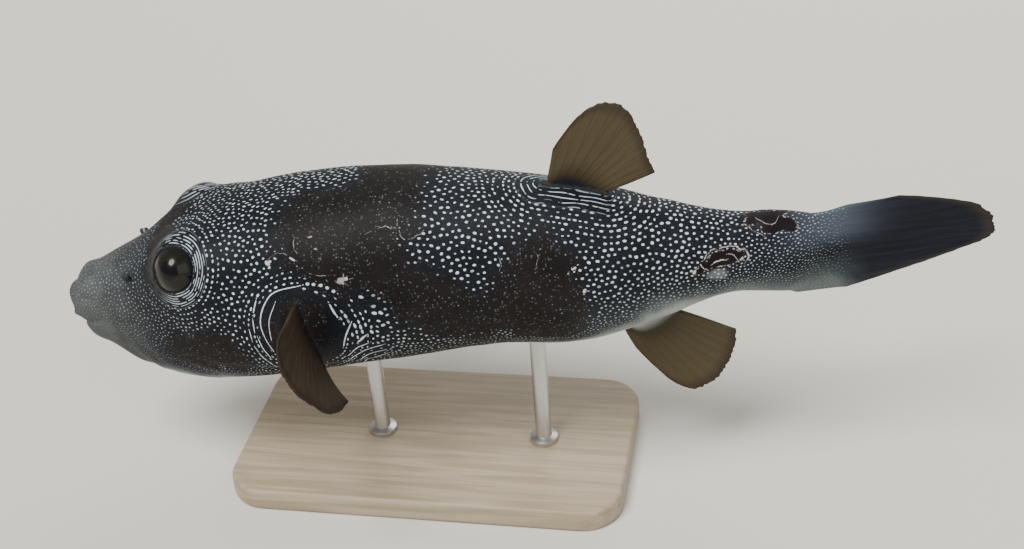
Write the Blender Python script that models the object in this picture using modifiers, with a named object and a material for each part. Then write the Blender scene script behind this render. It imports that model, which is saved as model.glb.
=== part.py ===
"""A white-spotted puffer, life size, held over a plain base by two rods.

The fish is laid out straight first: `along` runs from the snout to the tail root,
`across` to its right side and `up` to its back. bend() then gives every point its
place in the swimming pose. The head points to -X and the fish's left side to -Y.
"""

from math import acos, atan2, cos, exp, pi, radians, sin, sqrt

import bmesh
import bpy
from mathutils import Matrix, Vector

# Driving sizes, in metres. A place along the body is a part of BODY_LENGTH, from the snout.
BODY_LENGTH = 0.370
GAP = 0.0003

# The body's outline, one row per station along it, as parts of BODY_LENGTH:
# place, half width, height of the back, depth of the belly, level of the widest line
STATIONS = (
    (0.00, 0.034, 0.006, 0.056, -0.027),
    (0.04, 0.046, 0.019, 0.095, -0.036),
    (0.09, 0.067, 0.039, 0.131, -0.042),
    (0.16, 0.096, 0.069, 0.148, -0.043),
    (0.24, 0.119, 0.097, 0.144, -0.038),
    (0.34, 0.128, 0.115, 0.132, -0.028),
    (0.46, 0.118, 0.126, 0.119, -0.014),
    (0.58, 0.103, 0.120, 0.105, -0.003),
    (0.70, 0.086, 0.104, 0.107, 0.000),
    (0.80, 0.060, 0.077, 0.079, 0.000),
    (0.88, 0.041, 0.055, 0.057, 0.000),
    (0.95, 0.029, 0.053, 0.067, 0.000),
    (1.00, 0.017, 0.053, 0.076, 0.000),
)
SNOUT_ROUNDING = 0.036
TAIL_ROUNDING = 0.036

# How square the sections are, and the roll of the lips
HEAD_SQUARENESS = 2.5
TAIL_SQUARENESS = 2.1
LIP_PLACE = 0.020
LIP_WIDTH = 0.012
LIP_ROLL = 0.0022

# The eyes: place along, across and up, as parts of BODY_LENGTH, and the way they look
EYE_PLACE = (0.182, 0.078, 0.046)
EYE_LOOK = (-0.14, 0.86, 0.48)
EYE_RADIUS = 0.0132
ORBIT_RADIUS = 0.0162
ORBIT_DEPTH = 0.0042
BROW_HEIGHT = 0.0058
BROW_WIDTH = 0.0250

# The mouth's slot, how far it flares to the front, and how far the beak stands forward
MOUTH_PLACE = (0.0085, 0.0, -0.0100)
MOUTH_SIZE = (0.0100, 0.0094, 0.0030)
MOUTH_FLARE = 3.0
BEAK_FORWARD = 0.0008

# The nostril flaps, on each side between the mouth and the eye
FLAP_PLACE = 0.098
FLAP_ANGLE = radians(40.0)
FLAP_STEM = 0.0030
FLAP_RADIUS = 0.0011

# Where the body is parted
HEAD_END = 0.325
TRUNK_END = 0.835

# The pose: how far the tail and the head turn to the fish's right, and its pitch
TAIL_TURN = radians(12.0)
HEAD_TURN = radians(-11.0)
PITCH = radians(-3.0)

# The stand
AXIS_HEIGHT = 0.118
BASE_LENGTH = 0.200
BASE_WIDTH = 0.110
BASE_THICKNESS = 0.012
BASE_PLACE = 0.480
BASE_CORNER = 0.020
BASE_EDGE = 0.0015
ROD_RADIUS = 0.0040
ROD_PLACES = (0.400, 0.630)

# The loft's mesh: sides, rings, and how far the rings crowd towards the snout
SEGMENTS = 36
RINGS = 50
RING_CROWDING = 1.5


def smooth_step(low, high, value):
    part = min(1.0, max(0.0, (value - low) / (high - low)))
    return part * part * (3.0 - 2.0 * part)


def between(table, place):
    """The table's columns at this place, along a smooth curve through its rows."""
    last = len(table) - 1
    row = 0
    while row < last - 1 and place > table[row + 1][0]:
        row += 1
    before, start = table[max(row - 1, 0)], table[row]
    end, after = table[row + 1], table[min(row + 2, last)]
    span = end[0] - start[0]
    part = (place - start[0]) / span
    found = []
    for column in range(1, len(start)):
        leave = (end[column] - before[column]) / (end[0] - before[0]) * span
        reach = (after[column] - start[column]) / (after[0] - start[0]) * span
        found.append(
            start[column] * (1.0 + 2.0 * part) * (1.0 - part) ** 2
            + leave * part * (1.0 - part) ** 2
            + end[column] * part * part * (3.0 - 2.0 * part)
            + reach * part * part * (part - 1.0)
        )
    return found


def power(value, exponent):
    """The value raised to a power, with its sign kept."""
    return abs(value) ** exponent * (1.0 if value > 0.0 else -1.0)


def section_point(place, angle):
    """The plain body's surface, straight. The angle is 0 at the back and grows to the right."""
    half_width, back, belly, middle = between(STATIONS, place)
    nose = max(0.0, 1.0 - place / SNOUT_ROUNDING)
    stern = max(0.0, (place - 1.0 + TAIL_ROUNDING) / TAIL_ROUNDING)
    rounding = sqrt(max(0.0, 1.0 - nose * nose)) * sqrt(max(0.0, 1.0 - stern * stern))
    square = HEAD_SQUARENESS + (TAIL_SQUARENESS - HEAD_SQUARENESS) * smooth_step(0.2, 0.6, place)
    across = half_width * rounding * power(sin(angle), 2.0 / square)
    rise = power(cos(angle), 2.0 / square)
    reach = (back - middle if rise > 0.0 else belly + middle) * rounding
    lip = LIP_ROLL * exp(-(((place - LIP_PLACE) / LIP_WIDTH) ** 2))
    point = Vector((place, across, middle + reach * rise)) * BODY_LENGTH
    return point + Vector((0.0, sin(angle), cos(angle))) * lip


def eye_axis(side):
    return Vector((EYE_LOOK[0], side * EYE_LOOK[1], EYE_LOOK[2])).normalized()


def eye_center(side):
    return Vector((EYE_PLACE[0], side * EYE_PLACE[1], EYE_PLACE[2])) * BODY_LENGTH


def body_point(place, angle):
    """The body's surface, straight, raised round each eye."""
    point = section_point(place, angle)
    for side in (-1, 1):
        offset = (point - eye_center(side)).length
        point += eye_axis(side) * BROW_HEIGHT * exp(-((offset / BROW_WIDTH) ** 4))
    return point


def heading(along):
    """The way the body's line points at a distance from the snout, as an angle to the right."""
    part = along / BODY_LENGTH
    head = HEAD_TURN * (1.0 - smooth_step(0.0, 0.45, part))
    return -head + TAIL_TURN * smooth_step(0.55, 1.12, part)


def spine_points(steps=120, reach=1.3):
    """Points of the body's line, laid from its middle both ways."""
    step = BODY_LENGTH * reach / steps
    points = [Vector((0.0, 0.0, 0.0))]
    for index in range(steps):
        turn = heading((index + 0.5) * step)
        points.append(points[-1] + Vector((cos(turn), sin(turn), 0.0)) * step)
    middle = points[steps * 2 // 5].copy()
    return [point - middle for point in points], step


SPINE, SPINE_STEP = spine_points()


def bend(point):
    """A straight point's place in the pose, over the stand."""
    along = min(max(point.x, 0.0), SPINE_STEP * (len(SPINE) - 1.001))
    row = int(along / SPINE_STEP)
    base = SPINE[row].lerp(SPINE[row + 1], along / SPINE_STEP - row)
    turn = heading(along)
    ahead = Vector((cos(turn), sin(turn), 0.0))
    aside = Vector((-sin(turn), cos(turn), 0.0))
    placed = base + ahead * (point.x - along) + aside * point.y
    placed.z += point.z
    placed = Matrix.Rotation(PITCH, 3, "Y") @ placed
    placed.z += AXIS_HEIGHT
    return placed


def material(name, color, roughness, metallic=0.0):
    found = bpy.data.materials.new(name)
    found.use_nodes = True
    shader = found.node_tree.nodes["Principled BSDF"]
    shader.inputs["Base Color"].default_value = (*color, 1.0)
    shader.inputs["Roughness"].default_value = roughness
    shader.inputs["Metallic"].default_value = metallic
    found.diffuse_color = (*color, 1.0)
    return found


def place_object(name, mesh, collection, finish=None):
    obj = bpy.data.objects.new(name, mesh)
    collection.objects.link(obj)
    if finish:
        mesh.materials.append(finish)
    return obj


def mesh_from(name, editor):
    bmesh.ops.recalc_face_normals(editor, faces=editor.faces)
    mesh = bpy.data.meshes.new(name)
    editor.to_mesh(mesh)
    editor.free()
    return mesh


def body_mesh(name, start=None, end=None, grow=0.0):
    """The body between two places, or all of it. grow moves its skin outwards."""
    editor = bmesh.new()
    bmesh.ops.create_uvsphere(editor, u_segments=SEGMENTS, v_segments=RINGS, radius=1.0)
    for vertex in editor.verts:
        ring = acos(max(-1.0, min(1.0, -vertex.co.z))) / pi
        vertex.co = body_point(ring**RING_CROWDING, atan2(vertex.co.y, vertex.co.x))
    bmesh.ops.recalc_face_normals(editor, faces=editor.faces)
    if grow:
        editor.normal_update()
        moved = [vertex.co + vertex.normal * grow for vertex in editor.verts]
        for vertex, point in zip(editor.verts, moved):
            vertex.co = point
    for place, outward in ((start, -1.0), (end, 1.0)):
        if place is None:
            continue
        cut = bmesh.ops.bisect_plane(
            editor,
            geom=[*editor.verts, *editor.edges, *editor.faces],
            plane_co=(place * BODY_LENGTH - outward * GAP / 2.0, 0.0, 0.0),
            plane_no=(outward, 0.0, 0.0),
            clear_outer=True,
        )
        edges = [item for item in cut["geom_cut"] if isinstance(item, bmesh.types.BMEdge)]
        bmesh.ops.holes_fill(editor, edges=edges, sides=0)
    for vertex in editor.verts:
        vertex.co = bend(vertex.co)
    return mesh_from(name, editor)


def ball_mesh(name, center, radius, across=18, up=10):
    editor = bmesh.new()
    turn = Vector((0.0, 0.0, 1.0)).rotation_difference(Vector((0.0, 1.0, 0.0)))
    place = Matrix.Translation(center) @ turn.to_matrix().to_4x4()
    bmesh.ops.create_uvsphere(editor, u_segments=across, v_segments=up, radius=radius, matrix=place)
    return mesh_from(name, editor)


def combine(obj, other, operation="DIFFERENCE"):
    step = obj.modifiers.new(other.name, "BOOLEAN")
    step.operation = operation
    step.solver = "EXACT"
    step.object = other


def surface_angle_at(place, height):
    """The section's angle on the right side where the body's surface has this height."""
    low, high = 0.0, pi
    for _ in range(40):
        middle = (low + high) / 2.0
        if section_point(place, middle).z > height * BODY_LENGTH:
            low = middle
        else:
            high = middle
    return (low + high) / 2.0


def fin_mesh(name, rays, root_thickness, edge_thickness, columns=12, rows=7):
    """A fin as a closed plate that thins from root to edge.

    rays(across) gives the root, the direction, the length and the sideways bow of the
    ray at 0 to 1 across the fin.
    """
    editor = bmesh.new()
    bmesh.ops.create_cube(editor, size=2.0)
    inner = [edge for edge in editor.edges if abs(edge.verts[0].co.x - edge.verts[1].co.x) > 1.0]
    bmesh.ops.subdivide_edges(editor, edges=inner, cuts=columns - 1, use_grid_fill=True)
    inner = [edge for edge in editor.edges if abs(edge.verts[0].co.z - edge.verts[1].co.z) > 1.0]
    bmesh.ops.subdivide_edges(editor, edges=inner, cuts=rows - 1, use_grid_fill=True)
    for vertex in editor.verts:
        across = (vertex.co.x + 1.0) / 2.0
        reach = (vertex.co.z + 1.0) / 2.0
        root, direction, length, bow = rays(across)
        before = rays(max(0.0, across - 0.01))
        beyond = rays(min(1.0, across + 0.01))
        spread = (beyond[0] + beyond[1] * beyond[2] * reach) - (before[0] + before[1] * before[2] * reach)
        facing = direction.cross(spread).normalized()
        thickness = root_thickness + (edge_thickness - root_thickness) * reach**0.6
        point = root + direction * length * reach + facing * bow * reach * reach
        vertex.co = bend(point + facing * vertex.co.y * thickness / 2.0)
    return mesh_from(name, editor)


def ridge_rays(start, end, sink, first_angle, last_angle, lengths, below=False):
    """Rays for a fin on the midline, from one place along the body to another."""
    table = [(index / (len(lengths) - 1), length) for index, length in enumerate(lengths)]

    def rays(across):
        place = start + (end - start) * across
        angle = first_angle + (last_angle - first_angle) * across
        direction = Vector((cos(angle), 0.0, -sin(angle) if below else sin(angle)))
        root = section_point(place, pi if below else 0.0) - direction * sink
        return root, direction, between(table, across)[0] + sink, 0.0

    return rays


def dorsal_rays():
    lengths = (0.015, 0.042, 0.047, 0.040, 0.032, 0.026)
    return ridge_rays(0.661, 0.730, 0.007, radians(75), radians(20), lengths)


def anal_rays():
    lengths = (0.016, 0.046, 0.051, 0.048, 0.041, 0.034)
    return ridge_rays(0.738, 0.802, 0.007, radians(70), radians(24), lengths, below=True)


def tail_rays():
    lengths = (0.049, 0.084, 0.093, 0.091, 0.078, 0.056, 0.024)
    angles = (5.4, 0.7, -0.9, -0.9, 0.0, 1.5, -8.5)
    last = len(lengths) - 1
    table = [(index / last, *pair) for index, pair in enumerate(zip(lengths, angles))]

    def rays(across):
        length, angle = between(table, across)
        root = Vector((0.962 * BODY_LENGTH, 0.0, 0.0170 - 0.0392 * across))
        direction = Vector((cos(radians(angle)), 0.0, sin(radians(angle))))
        return root, direction, length, 0.0

    return rays


def pectoral_rays(side):
    lengths = (0.032, 0.043, 0.049, 0.050, 0.048, 0.042, 0.033)
    table = [(index / (len(lengths) - 1), length) for index, length in enumerate(lengths)]

    def rays(across):
        height = 0.020 - 0.085 * across
        place = 0.350 + 0.012 * across
        root = section_point(place, surface_angle_at(place, height))
        direction = Vector((-0.12 + 0.60 * across, 0.95 - 0.17 * across, -0.06 - 0.30 * across))
        direction.normalize()
        root -= direction * 0.007
        root.y *= side
        direction.y *= side
        return root, direction, between(table, across)[0] + 0.007, -0.006 * side

    return rays


def forked_flap(name, side, collection, finish):
    """A nostril's forked flap: a Y of edges that the Skin modifier thickens."""
    foot = body_point(FLAP_PLACE, FLAP_ANGLE * side)
    stem = Vector((-0.10, side * 0.40, 0.90)).normalized()
    fork = foot + stem * FLAP_STEM
    front = fork + Vector((-0.0024, side * 0.0012, 0.0028))
    rear = fork + Vector((0.0020, side * 0.0016, 0.0030))
    points = [bend(point) for point in (foot - stem * FLAP_STEM, fork, front, rear)]
    mesh = bpy.data.meshes.new(name)
    mesh.from_pydata(points, [(0, 1), (1, 2), (1, 3)], [])
    flap = place_object(name, mesh, collection)
    flap.modifiers.new("thickness", "SKIN")
    for vertex, part in zip(mesh.skin_vertices[0].data, (1.5, 1.2, 0.75, 0.75)):
        vertex.radius = (FLAP_RADIUS * part, FLAP_RADIUS * part)
    rounding = flap.modifiers.new("rounding", "SUBSURF")
    rounding.levels = 1
    rounding.render_levels = 1
    mesh.materials.append(finish)
    return flap


def slot_mesh(center, size):
    """An egg shape of these half sizes, for the mouth and what fills it."""
    editor = bmesh.new()
    bmesh.ops.create_uvsphere(editor, u_segments=16, v_segments=10, radius=1.0)
    for vertex in editor.verts:
        vertex.co = center + Vector(a * b for a, b in zip(vertex.co, size))
    return editor


def beak_mesh(name, upward):
    """The upper or the lower plate: half of an egg shape a little smaller than the mouth."""
    size = [half - GAP for half in MOUTH_SIZE]
    center = Vector(MOUTH_PLACE) - Vector((BEAK_FORWARD, 0.0, 0.0))
    editor = slot_mesh(center, size)
    cut = bmesh.ops.bisect_plane(
        editor,
        geom=[*editor.verts, *editor.edges, *editor.faces],
        plane_co=center + Vector((0.0, 0.0, upward * GAP)),
        plane_no=(0.0, 0.0, -upward),
        clear_outer=True,
    )
    edges = [item for item in cut["geom_cut"] if isinstance(item, bmesh.types.BMEdge)]
    bmesh.ops.holes_fill(editor, edges=edges, sides=0)
    for vertex in editor.verts:
        vertex.co = bend(vertex.co)
    return mesh_from(name, editor)


def mouth_cutter():
    editor = slot_mesh(Vector(MOUTH_PLACE), MOUTH_SIZE)
    for vertex in editor.verts:
        inside = min(0.0, vertex.co.x - MOUTH_PLACE[0])
        vertex.co = bend(vertex.co + Vector((inside * MOUTH_FLARE, 0.0, 0.0)))
    return mesh_from("mouth", editor)


def rod_mesh(name, place):
    """A round rod from just over the base up into the belly, where the body's cutter trims it."""
    foot = bend(Vector((place * BODY_LENGTH, 0.0, 0.0)))
    low, high = BASE_THICKNESS + GAP, foot.z
    editor = bmesh.new()
    bmesh.ops.create_cone(
        editor,
        cap_ends=True,
        segments=24,
        radius1=ROD_RADIUS,
        radius2=ROD_RADIUS,
        depth=high - low,
        matrix=Matrix.Translation((foot.x, foot.y, (low + high) / 2.0)),
    )
    return mesh_from(name, editor)


def base_mesh(name):
    center = bend(Vector((BASE_PLACE * BODY_LENGTH, 0.0, 0.0)))
    editor = bmesh.new()
    size = Matrix.Diagonal((BASE_LENGTH, BASE_WIDTH, BASE_THICKNESS, 1.0))
    place = Matrix.Translation((center.x, center.y, BASE_THICKNESS / 2.0))
    bmesh.ops.create_cube(editor, size=1.0, matrix=place @ size)
    upright = [edge for edge in editor.edges if abs(edge.verts[0].co.z - edge.verts[1].co.z) > GAP]
    bmesh.ops.bevel(editor, geom=upright, offset=BASE_CORNER, segments=8, profile=0.5, affect="EDGES")
    top = [edge for edge in editor.edges if min(vertex.co.z for vertex in edge.verts) > BASE_THICKNESS - GAP]
    bmesh.ops.bevel(editor, geom=top, offset=BASE_EDGE, segments=2, profile=0.5, affect="EDGES")
    return mesh_from(name, editor)


def center_over_origin(parts, cutters):
    """Hangs everything on an empty that puts the box's bottom centre at the world's origin."""
    bpy.context.view_layer.update()
    graph = bpy.context.evaluated_depsgraph_get()
    corners = [Vector(corner) for part in parts for corner in part.evaluated_get(graph).bound_box]
    low = Vector(min(corner[axis] for corner in corners) for axis in range(3))
    high = Vector(max(corner[axis] for corner in corners) for axis in range(3))
    anchor = bpy.data.objects.new("anchor", None)
    bpy.context.scene.collection.objects.link(anchor)
    anchor.location = (-(low.x + high.x) / 2.0, -(low.y + high.y) / 2.0, -low.z)
    for obj in (*parts, *cutters):
        obj.parent = anchor


def main():
    for obj in list(bpy.data.objects):
        bpy.data.objects.remove(obj, do_unlink=True)
    fish = bpy.data.collections.new("spotted_pufferfish")
    cutters = bpy.data.collections.new("cutters")
    for collection in (fish, cutters):
        bpy.context.scene.collection.children.link(collection)

    skin = material("skin", (0.035, 0.038, 0.045), 0.45)
    fin = material("fin", (0.16, 0.13, 0.08), 0.45)
    tail = material("tail_fin", (0.030, 0.030, 0.034), 0.45)
    eye = material("eye", (0.020, 0.018, 0.010), 0.08)
    beak = material("beak", (0.62, 0.58, 0.46), 0.25)
    board = material("stand_base", (0.42, 0.34, 0.24), 0.55)
    steel = material("stand_rod", (0.62, 0.62, 0.60), 0.30, 1.0)

    grown = place_object("grown body", body_mesh("grown body", grow=GAP), cutters)
    mouth = place_object("mouth", mouth_cutter(), cutters)

    head = place_object("head", body_mesh("head", end=HEAD_END), fish, skin)
    place_object("trunk", body_mesh("trunk", HEAD_END, TRUNK_END), fish, skin)
    place_object("tail_stem", body_mesh("tail_stem", start=TRUNK_END), fish, skin)
    combine(head, mouth)
    place_object("beak_upper", beak_mesh("beak_upper", 1), fish, beak)
    place_object("beak_lower", beak_mesh("beak_lower", -1), fish, beak)

    for side, word in ((-1, "left"), (1, "right")):
        center = bend(eye_center(side))
        place_object("eye_" + word, ball_mesh("eye", center, EYE_RADIUS), fish, eye)
        seat = bend(eye_center(side) - eye_axis(side) * ORBIT_DEPTH)
        orbit = ball_mesh("orbit " + word, seat, ORBIT_RADIUS)
        combine(head, place_object("orbit " + word, orbit, cutters), "UNION")
        socket = ball_mesh("socket " + word, center, EYE_RADIUS + GAP)
        combine(head, place_object("socket " + word, socket, cutters))
        combine(forked_flap("nostril_flap_" + word, side, fish, skin), grown)

    for name, rays, finish, root, edge in (
        ("dorsal_fin", dorsal_rays(), fin, 0.0046, 0.0008),
        ("anal_fin", anal_rays(), fin, 0.0044, 0.0008),
        ("tail_fin", tail_rays(), tail, 0.0060, 0.0009),
        ("pectoral_fin_left", pectoral_rays(-1), fin, 0.0040, 0.0008),
        ("pectoral_fin_right", pectoral_rays(1), fin, 0.0040, 0.0008),
    ):
        combine(place_object(name, fin_mesh(name, rays, root, edge), fish, finish), grown)

    place_object("stand_base", base_mesh("stand_base"), fish, board)
    for number, place in enumerate(ROD_PLACES, 1):
        name = f"stand_rod_{number}"
        combine(place_object(name, rod_mesh(name, place), fish, steel), grown)

    center_over_origin(list(fish.objects), list(cutters.objects))
    for obj in cutters.objects:
        obj.hide_render = True
        obj.display_type = "WIRE"


main()
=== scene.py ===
from math import cos, pi, radians, sin

import bpy
import numpy as np
from mathutils import Matrix, Vector, noise
from mathutils.bvhtree import BVHTree
from mathutils.kdtree import KDTree


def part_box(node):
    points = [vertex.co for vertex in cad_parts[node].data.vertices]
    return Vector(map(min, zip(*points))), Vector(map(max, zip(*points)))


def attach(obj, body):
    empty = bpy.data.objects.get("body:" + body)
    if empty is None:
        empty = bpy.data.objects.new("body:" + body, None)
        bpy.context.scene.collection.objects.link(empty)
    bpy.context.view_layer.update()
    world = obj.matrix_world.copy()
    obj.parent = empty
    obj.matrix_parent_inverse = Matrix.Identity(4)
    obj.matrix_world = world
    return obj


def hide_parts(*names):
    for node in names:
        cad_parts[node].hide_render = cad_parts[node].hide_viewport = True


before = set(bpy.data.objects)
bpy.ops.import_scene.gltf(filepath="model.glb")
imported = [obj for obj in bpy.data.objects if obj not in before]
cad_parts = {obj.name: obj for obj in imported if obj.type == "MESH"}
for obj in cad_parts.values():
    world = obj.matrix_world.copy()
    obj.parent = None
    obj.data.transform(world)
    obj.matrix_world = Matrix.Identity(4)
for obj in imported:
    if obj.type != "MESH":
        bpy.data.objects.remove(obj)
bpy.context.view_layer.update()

dice = np.random.default_rng(11)
millimetre = 0.001
print("frame loaded:", len(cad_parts), "nodes")

# The fish is modelled straight, x from the snout, y to its right, z to its back, and is
# bent into the swimming pose at the end. Places are parts of the body's length.
fish = {
    "length": 0.370,
    "stations": np.array([  # place, half width, back, belly, level of the widest line
        (0.00, 0.034, 0.006, 0.056, -0.027),
        (0.04, 0.046, 0.019, 0.095, -0.036),
        (0.09, 0.067, 0.039, 0.131, -0.042),
        (0.16, 0.096, 0.069, 0.148, -0.043),
        (0.24, 0.119, 0.097, 0.144, -0.038),
        (0.34, 0.128, 0.115, 0.132, -0.028),
        (0.46, 0.118, 0.126, 0.119, -0.014),
        (0.58, 0.103, 0.120, 0.105, -0.003),
        (0.70, 0.086, 0.104, 0.107, 0.000),
        (0.80, 0.060, 0.077, 0.079, 0.000),
        (0.88, 0.041, 0.055, 0.053, 0.000),
        (0.95, 0.029, 0.053, 0.063, 0.000),
        (1.00, 0.017, 0.053, 0.080, 0.000),
    ]),
    "endRounding": 0.036,
    "headSquareness": 2.5,
    "tailSquareness": 2.1,
    "lipPlace": 0.020,
    "lipWidth": 0.012,
    "lipRoll": 0.0022,
    "browHeight": 0.0058,
    "browWidth": 0.0250,
    "tailTurn": radians(12.0),
    "headTurn": radians(-11.0),
    "pitch": radians(-3.0),
    "spineSteps": 120,
    "spineReach": 1.3,
}
bodyLength = fish["length"]


def smoothStep(low, high, value):
    # 0 at low to 1 at high, whichever of the two is larger
    part = np.clip((value - low) / (high - low), 0.0, 1.0)
    return part * part * (3.0 - 2.0 * part)


def hump(value, centre, width):
    return np.exp(-(((value - centre) / width) ** 2))


def between(table, place):
    # the table's columns at these places, along a smooth curve through its rows
    last = len(table) - 1
    row = np.searchsorted(table[1:last, 0], place)
    before, start = table[np.maximum(row - 1, 0)], table[row]
    end, after = table[row + 1], table[np.minimum(row + 2, last)]
    span = end[:, :1] - start[:, :1]
    part = (place[:, None] - start[:, :1]) / span
    leave = (end - before) / (end[:, :1] - before[:, :1]) * span
    reach = (after - start) / (after[:, :1] - start[:, :1]) * span
    found = start * (1.0 + 2.0 * part) * (1.0 - part) ** 2 + leave * part * (1.0 - part) ** 2
    found += end * part * part * (3.0 - 2.0 * part) + reach * part * part * (part - 1.0)
    return found[:, 1:].T


def sectionPoint(place, angle):
    # the plain body, with the angle 0 at the back and growing to the right
    place, angle = np.atleast_1d(place) * 1.0, np.atleast_1d(angle) * 1.0
    halfWidth, back, belly, middle = between(fish["stations"], place)
    rounding = 1.0
    for fromEnd in (place, 1.0 - place):
        near = np.maximum(0.0, 1.0 - fromEnd / fish["endRounding"])
        rounding = rounding * np.sqrt(np.maximum(0.0, 1.0 - near**2))
    squareness = fish["tailSquareness"] - fish["headSquareness"]
    square = fish["headSquareness"] + squareness * smoothStep(0.2, 0.6, place)
    rise, aside = np.cos(angle), np.sin(angle)
    height = np.where(rise > 0.0, back - middle, belly + middle)
    reach = (abs(aside / halfWidth) ** square + abs(rise / height) ** square) ** (-1.0 / square)
    reach *= rounding
    lip = fish["lipRoll"] * hump(place, fish["lipPlace"], fish["lipWidth"])
    point = np.stack([place, reach * aside, middle + reach * rise], 1) * bodyLength
    return point + np.stack([0.0 * lip, aside * lip, rise * lip], 1)


def surfacePoint(place, height, side):
    # the plain body's point at this place and height, on one side
    place, height = np.atleast_1d(place) * 1.0, np.atleast_1d(height) * 1.0
    low, high = np.zeros(len(place)), np.full(len(place), pi)
    for _ in range(30):
        middle = (low + high) / 2.0
        above = sectionPoint(place, middle)[:, 2] > height * bodyLength
        low, high = np.where(above, middle, low), np.where(above, high, middle)
    return sectionPoint(place, middle) * (1.0, side, 1.0)


def heading(along):
    part = along / bodyLength
    head = fish["headTurn"] * smoothStep(0.45, 0.0, part)
    return -head + fish["tailTurn"] * smoothStep(0.55, 1.12, part)


spineStep = bodyLength * fish["spineReach"] / fish["spineSteps"]
spineTurn = heading((np.arange(fish["spineSteps"]) + 0.5) * spineStep)
spine = np.zeros((fish["spineSteps"] + 1, 2))
spine[1:] = np.cumsum(np.stack([np.cos(spineTurn), np.sin(spineTurn)], 1) * spineStep, 0)
spine -= spine[fish["spineSteps"] * 2 // 5]


def bendPlain(points):
    points = np.atleast_2d(points)
    along = np.clip(points[:, 0], 0.0, spineStep * (len(spine) - 1.001))
    row = (along / spineStep).astype(int)
    part = (along / spineStep - row)[:, None]
    base = spine[row] * (1.0 - part) + spine[row + 1] * part
    turn = heading(along)
    ahead = (points[:, 0] - along)[:, None] * np.stack([np.cos(turn), np.sin(turn)], 1)
    aside = points[:, 1:2] * np.stack([-np.sin(turn), np.cos(turn)], 1)
    flat = base + ahead + aside
    pitch, rise = fish["pitch"], points[:, 2]
    x = flat[:, 0] * cos(pitch) + rise * sin(pitch)
    z = rise * cos(pitch) - flat[:, 0] * sin(pitch)
    return np.stack([x, flat[:, 1], z], 1)


eye = {
    "center": np.array((0.182, 0.078, 0.046)) * bodyLength,
    "look": np.array((-0.14, 0.86, 0.48)),
    "ballRadius": 0.0132,
    "lidReach": 0.03,  # only skin this near an eye is shaped as its lid
    "orbitRadius": 0.0162,
    "orbitDepth": 0.0042,
    "orbitBlend": 0.0050,
    "openingAngle": radians(58.0),  # half the lid's opening, seen from the ball's centre
    "sinkBehind": 0.0020,  # how far the skin passes behind the ball
    # the lid's rim and the folds behind it: height, radians past the opening, width
    "folds": (
        (0.00110, 0.07, 0.085), (-0.00045, 0.22, 0.050), (0.00035, 0.33, 0.060), (-0.00030, 0.47, 0.060),
    ),
}
eye["look"] /= np.linalg.norm(eye["look"])

# The straight fish's place over the stand comes from where the left eye is in the frame.
eyeLow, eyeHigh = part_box("eye_left")
eyeSeat = bendPlain(eye["center"] * (1.0, -1.0, 1.0))[0]
anchor = np.array((eyeLow + eyeHigh) / 2.0) - eyeSeat


def bend(points):
    return bendPlain(points) + anchor


def deselectAll():
    if bpy.context.mode != "OBJECT":
        bpy.ops.object.mode_set(mode="OBJECT")
    bpy.ops.object.select_all(action="DESELECT")


def pick(*pieces):
    deselectAll()
    for piece in pieces:
        piece.select_set(True)
    bpy.context.view_layer.objects.active = pieces[0]


def edit(piece, action="SELECT"):
    # into edit mode, with all or nothing selected
    pick(piece)
    bpy.ops.object.mode_set(mode="EDIT")
    bpy.ops.mesh.select_all(action=action)


def leaveEdit():
    bpy.ops.object.mode_set(mode="OBJECT")


def startPiece(name):
    piece = bpy.context.object
    piece.name = name
    piece.data.name = name
    return piece


def readVectors(layer, field):
    found = np.empty(len(layer) * 3, np.float32)
    layer.foreach_get(field, found)
    return found.reshape(-1, 3).astype(float)


def getPoints(piece):
    return readVectors(piece.data.vertices, "co")


def getNormals(piece):
    return readVectors(piece.data.vertex_normals, "vector")


def setPoints(piece, points):
    piece.data.vertices.foreach_set("co", np.asarray(points, np.float32).ravel())
    piece.data.update()


def keepVectors(piece, name, columns, domain="POINT"):
    kept = piece.data.attributes.new(name, "FLOAT_VECTOR", domain)
    kept.data.foreach_set("vector", np.stack(columns, -1).astype(np.float32).ravel())


def applyModifier(piece, kind, **settings):
    pick(piece)
    modifier = piece.modifiers.new(kind.lower(), kind)
    for name, value in settings.items():
        setattr(modifier, name, value)
    bpy.ops.object.modifier_apply(modifier=modifier.name)


def selectVertices(piece, chosen):
    edit(piece, "DESELECT")
    bpy.ops.mesh.select_mode(type="VERT")
    leaveEdit()
    piece.data.vertices.foreach_set("select", np.asarray(chosen, bool))
    bpy.ops.object.mode_set(mode="EDIT")


def outwardNormals(piece):
    edit(piece)
    bpy.ops.mesh.normals_make_consistent(inside=False)
    leaveEdit()


def treeOf(points):
    found = KDTree(len(points))
    for index, point in enumerate(points):
        found.insert(Vector(point), index)
    found.balance()
    return found


def nearest(tree, points):
    # the number and the distance of the tree's nearest point to each
    hits = [tree.find(Vector(point)) for point in points]
    return np.array([hit[1] for hit in hits]), np.array([hit[2] for hit in hits])


def surfaceOf(piece):
    faces = [list(face.vertices) for face in piece.data.polygons]
    return BVHTree.FromPolygons(getPoints(piece).tolist(), faces)


def foldSides(points):
    # both sides laid on the right one, for what is alike on the two sides
    return np.stack([points[:, 0], abs(points[:, 1]), points[:, 2]], 1)


def placeUp(points):
    return points[:, 0] / bodyLength, points[:, 2] / bodyLength


def fromEyeAxis(points):
    # distance from the eye's axis, and the angle off it seen from the ball's centre
    offset = foldSides(points) - eye["center"]
    ahead = offset @ eye["look"]
    away = np.linalg.norm(offset - ahead[:, None] * eye["look"], axis=1)
    return away, np.arctan2(away, ahead)


def smoothMax(first, second, blend):
    close = np.maximum(blend - abs(first - second), 0.0) / blend
    return np.maximum(first, second) + close * close * blend * 0.25


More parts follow.
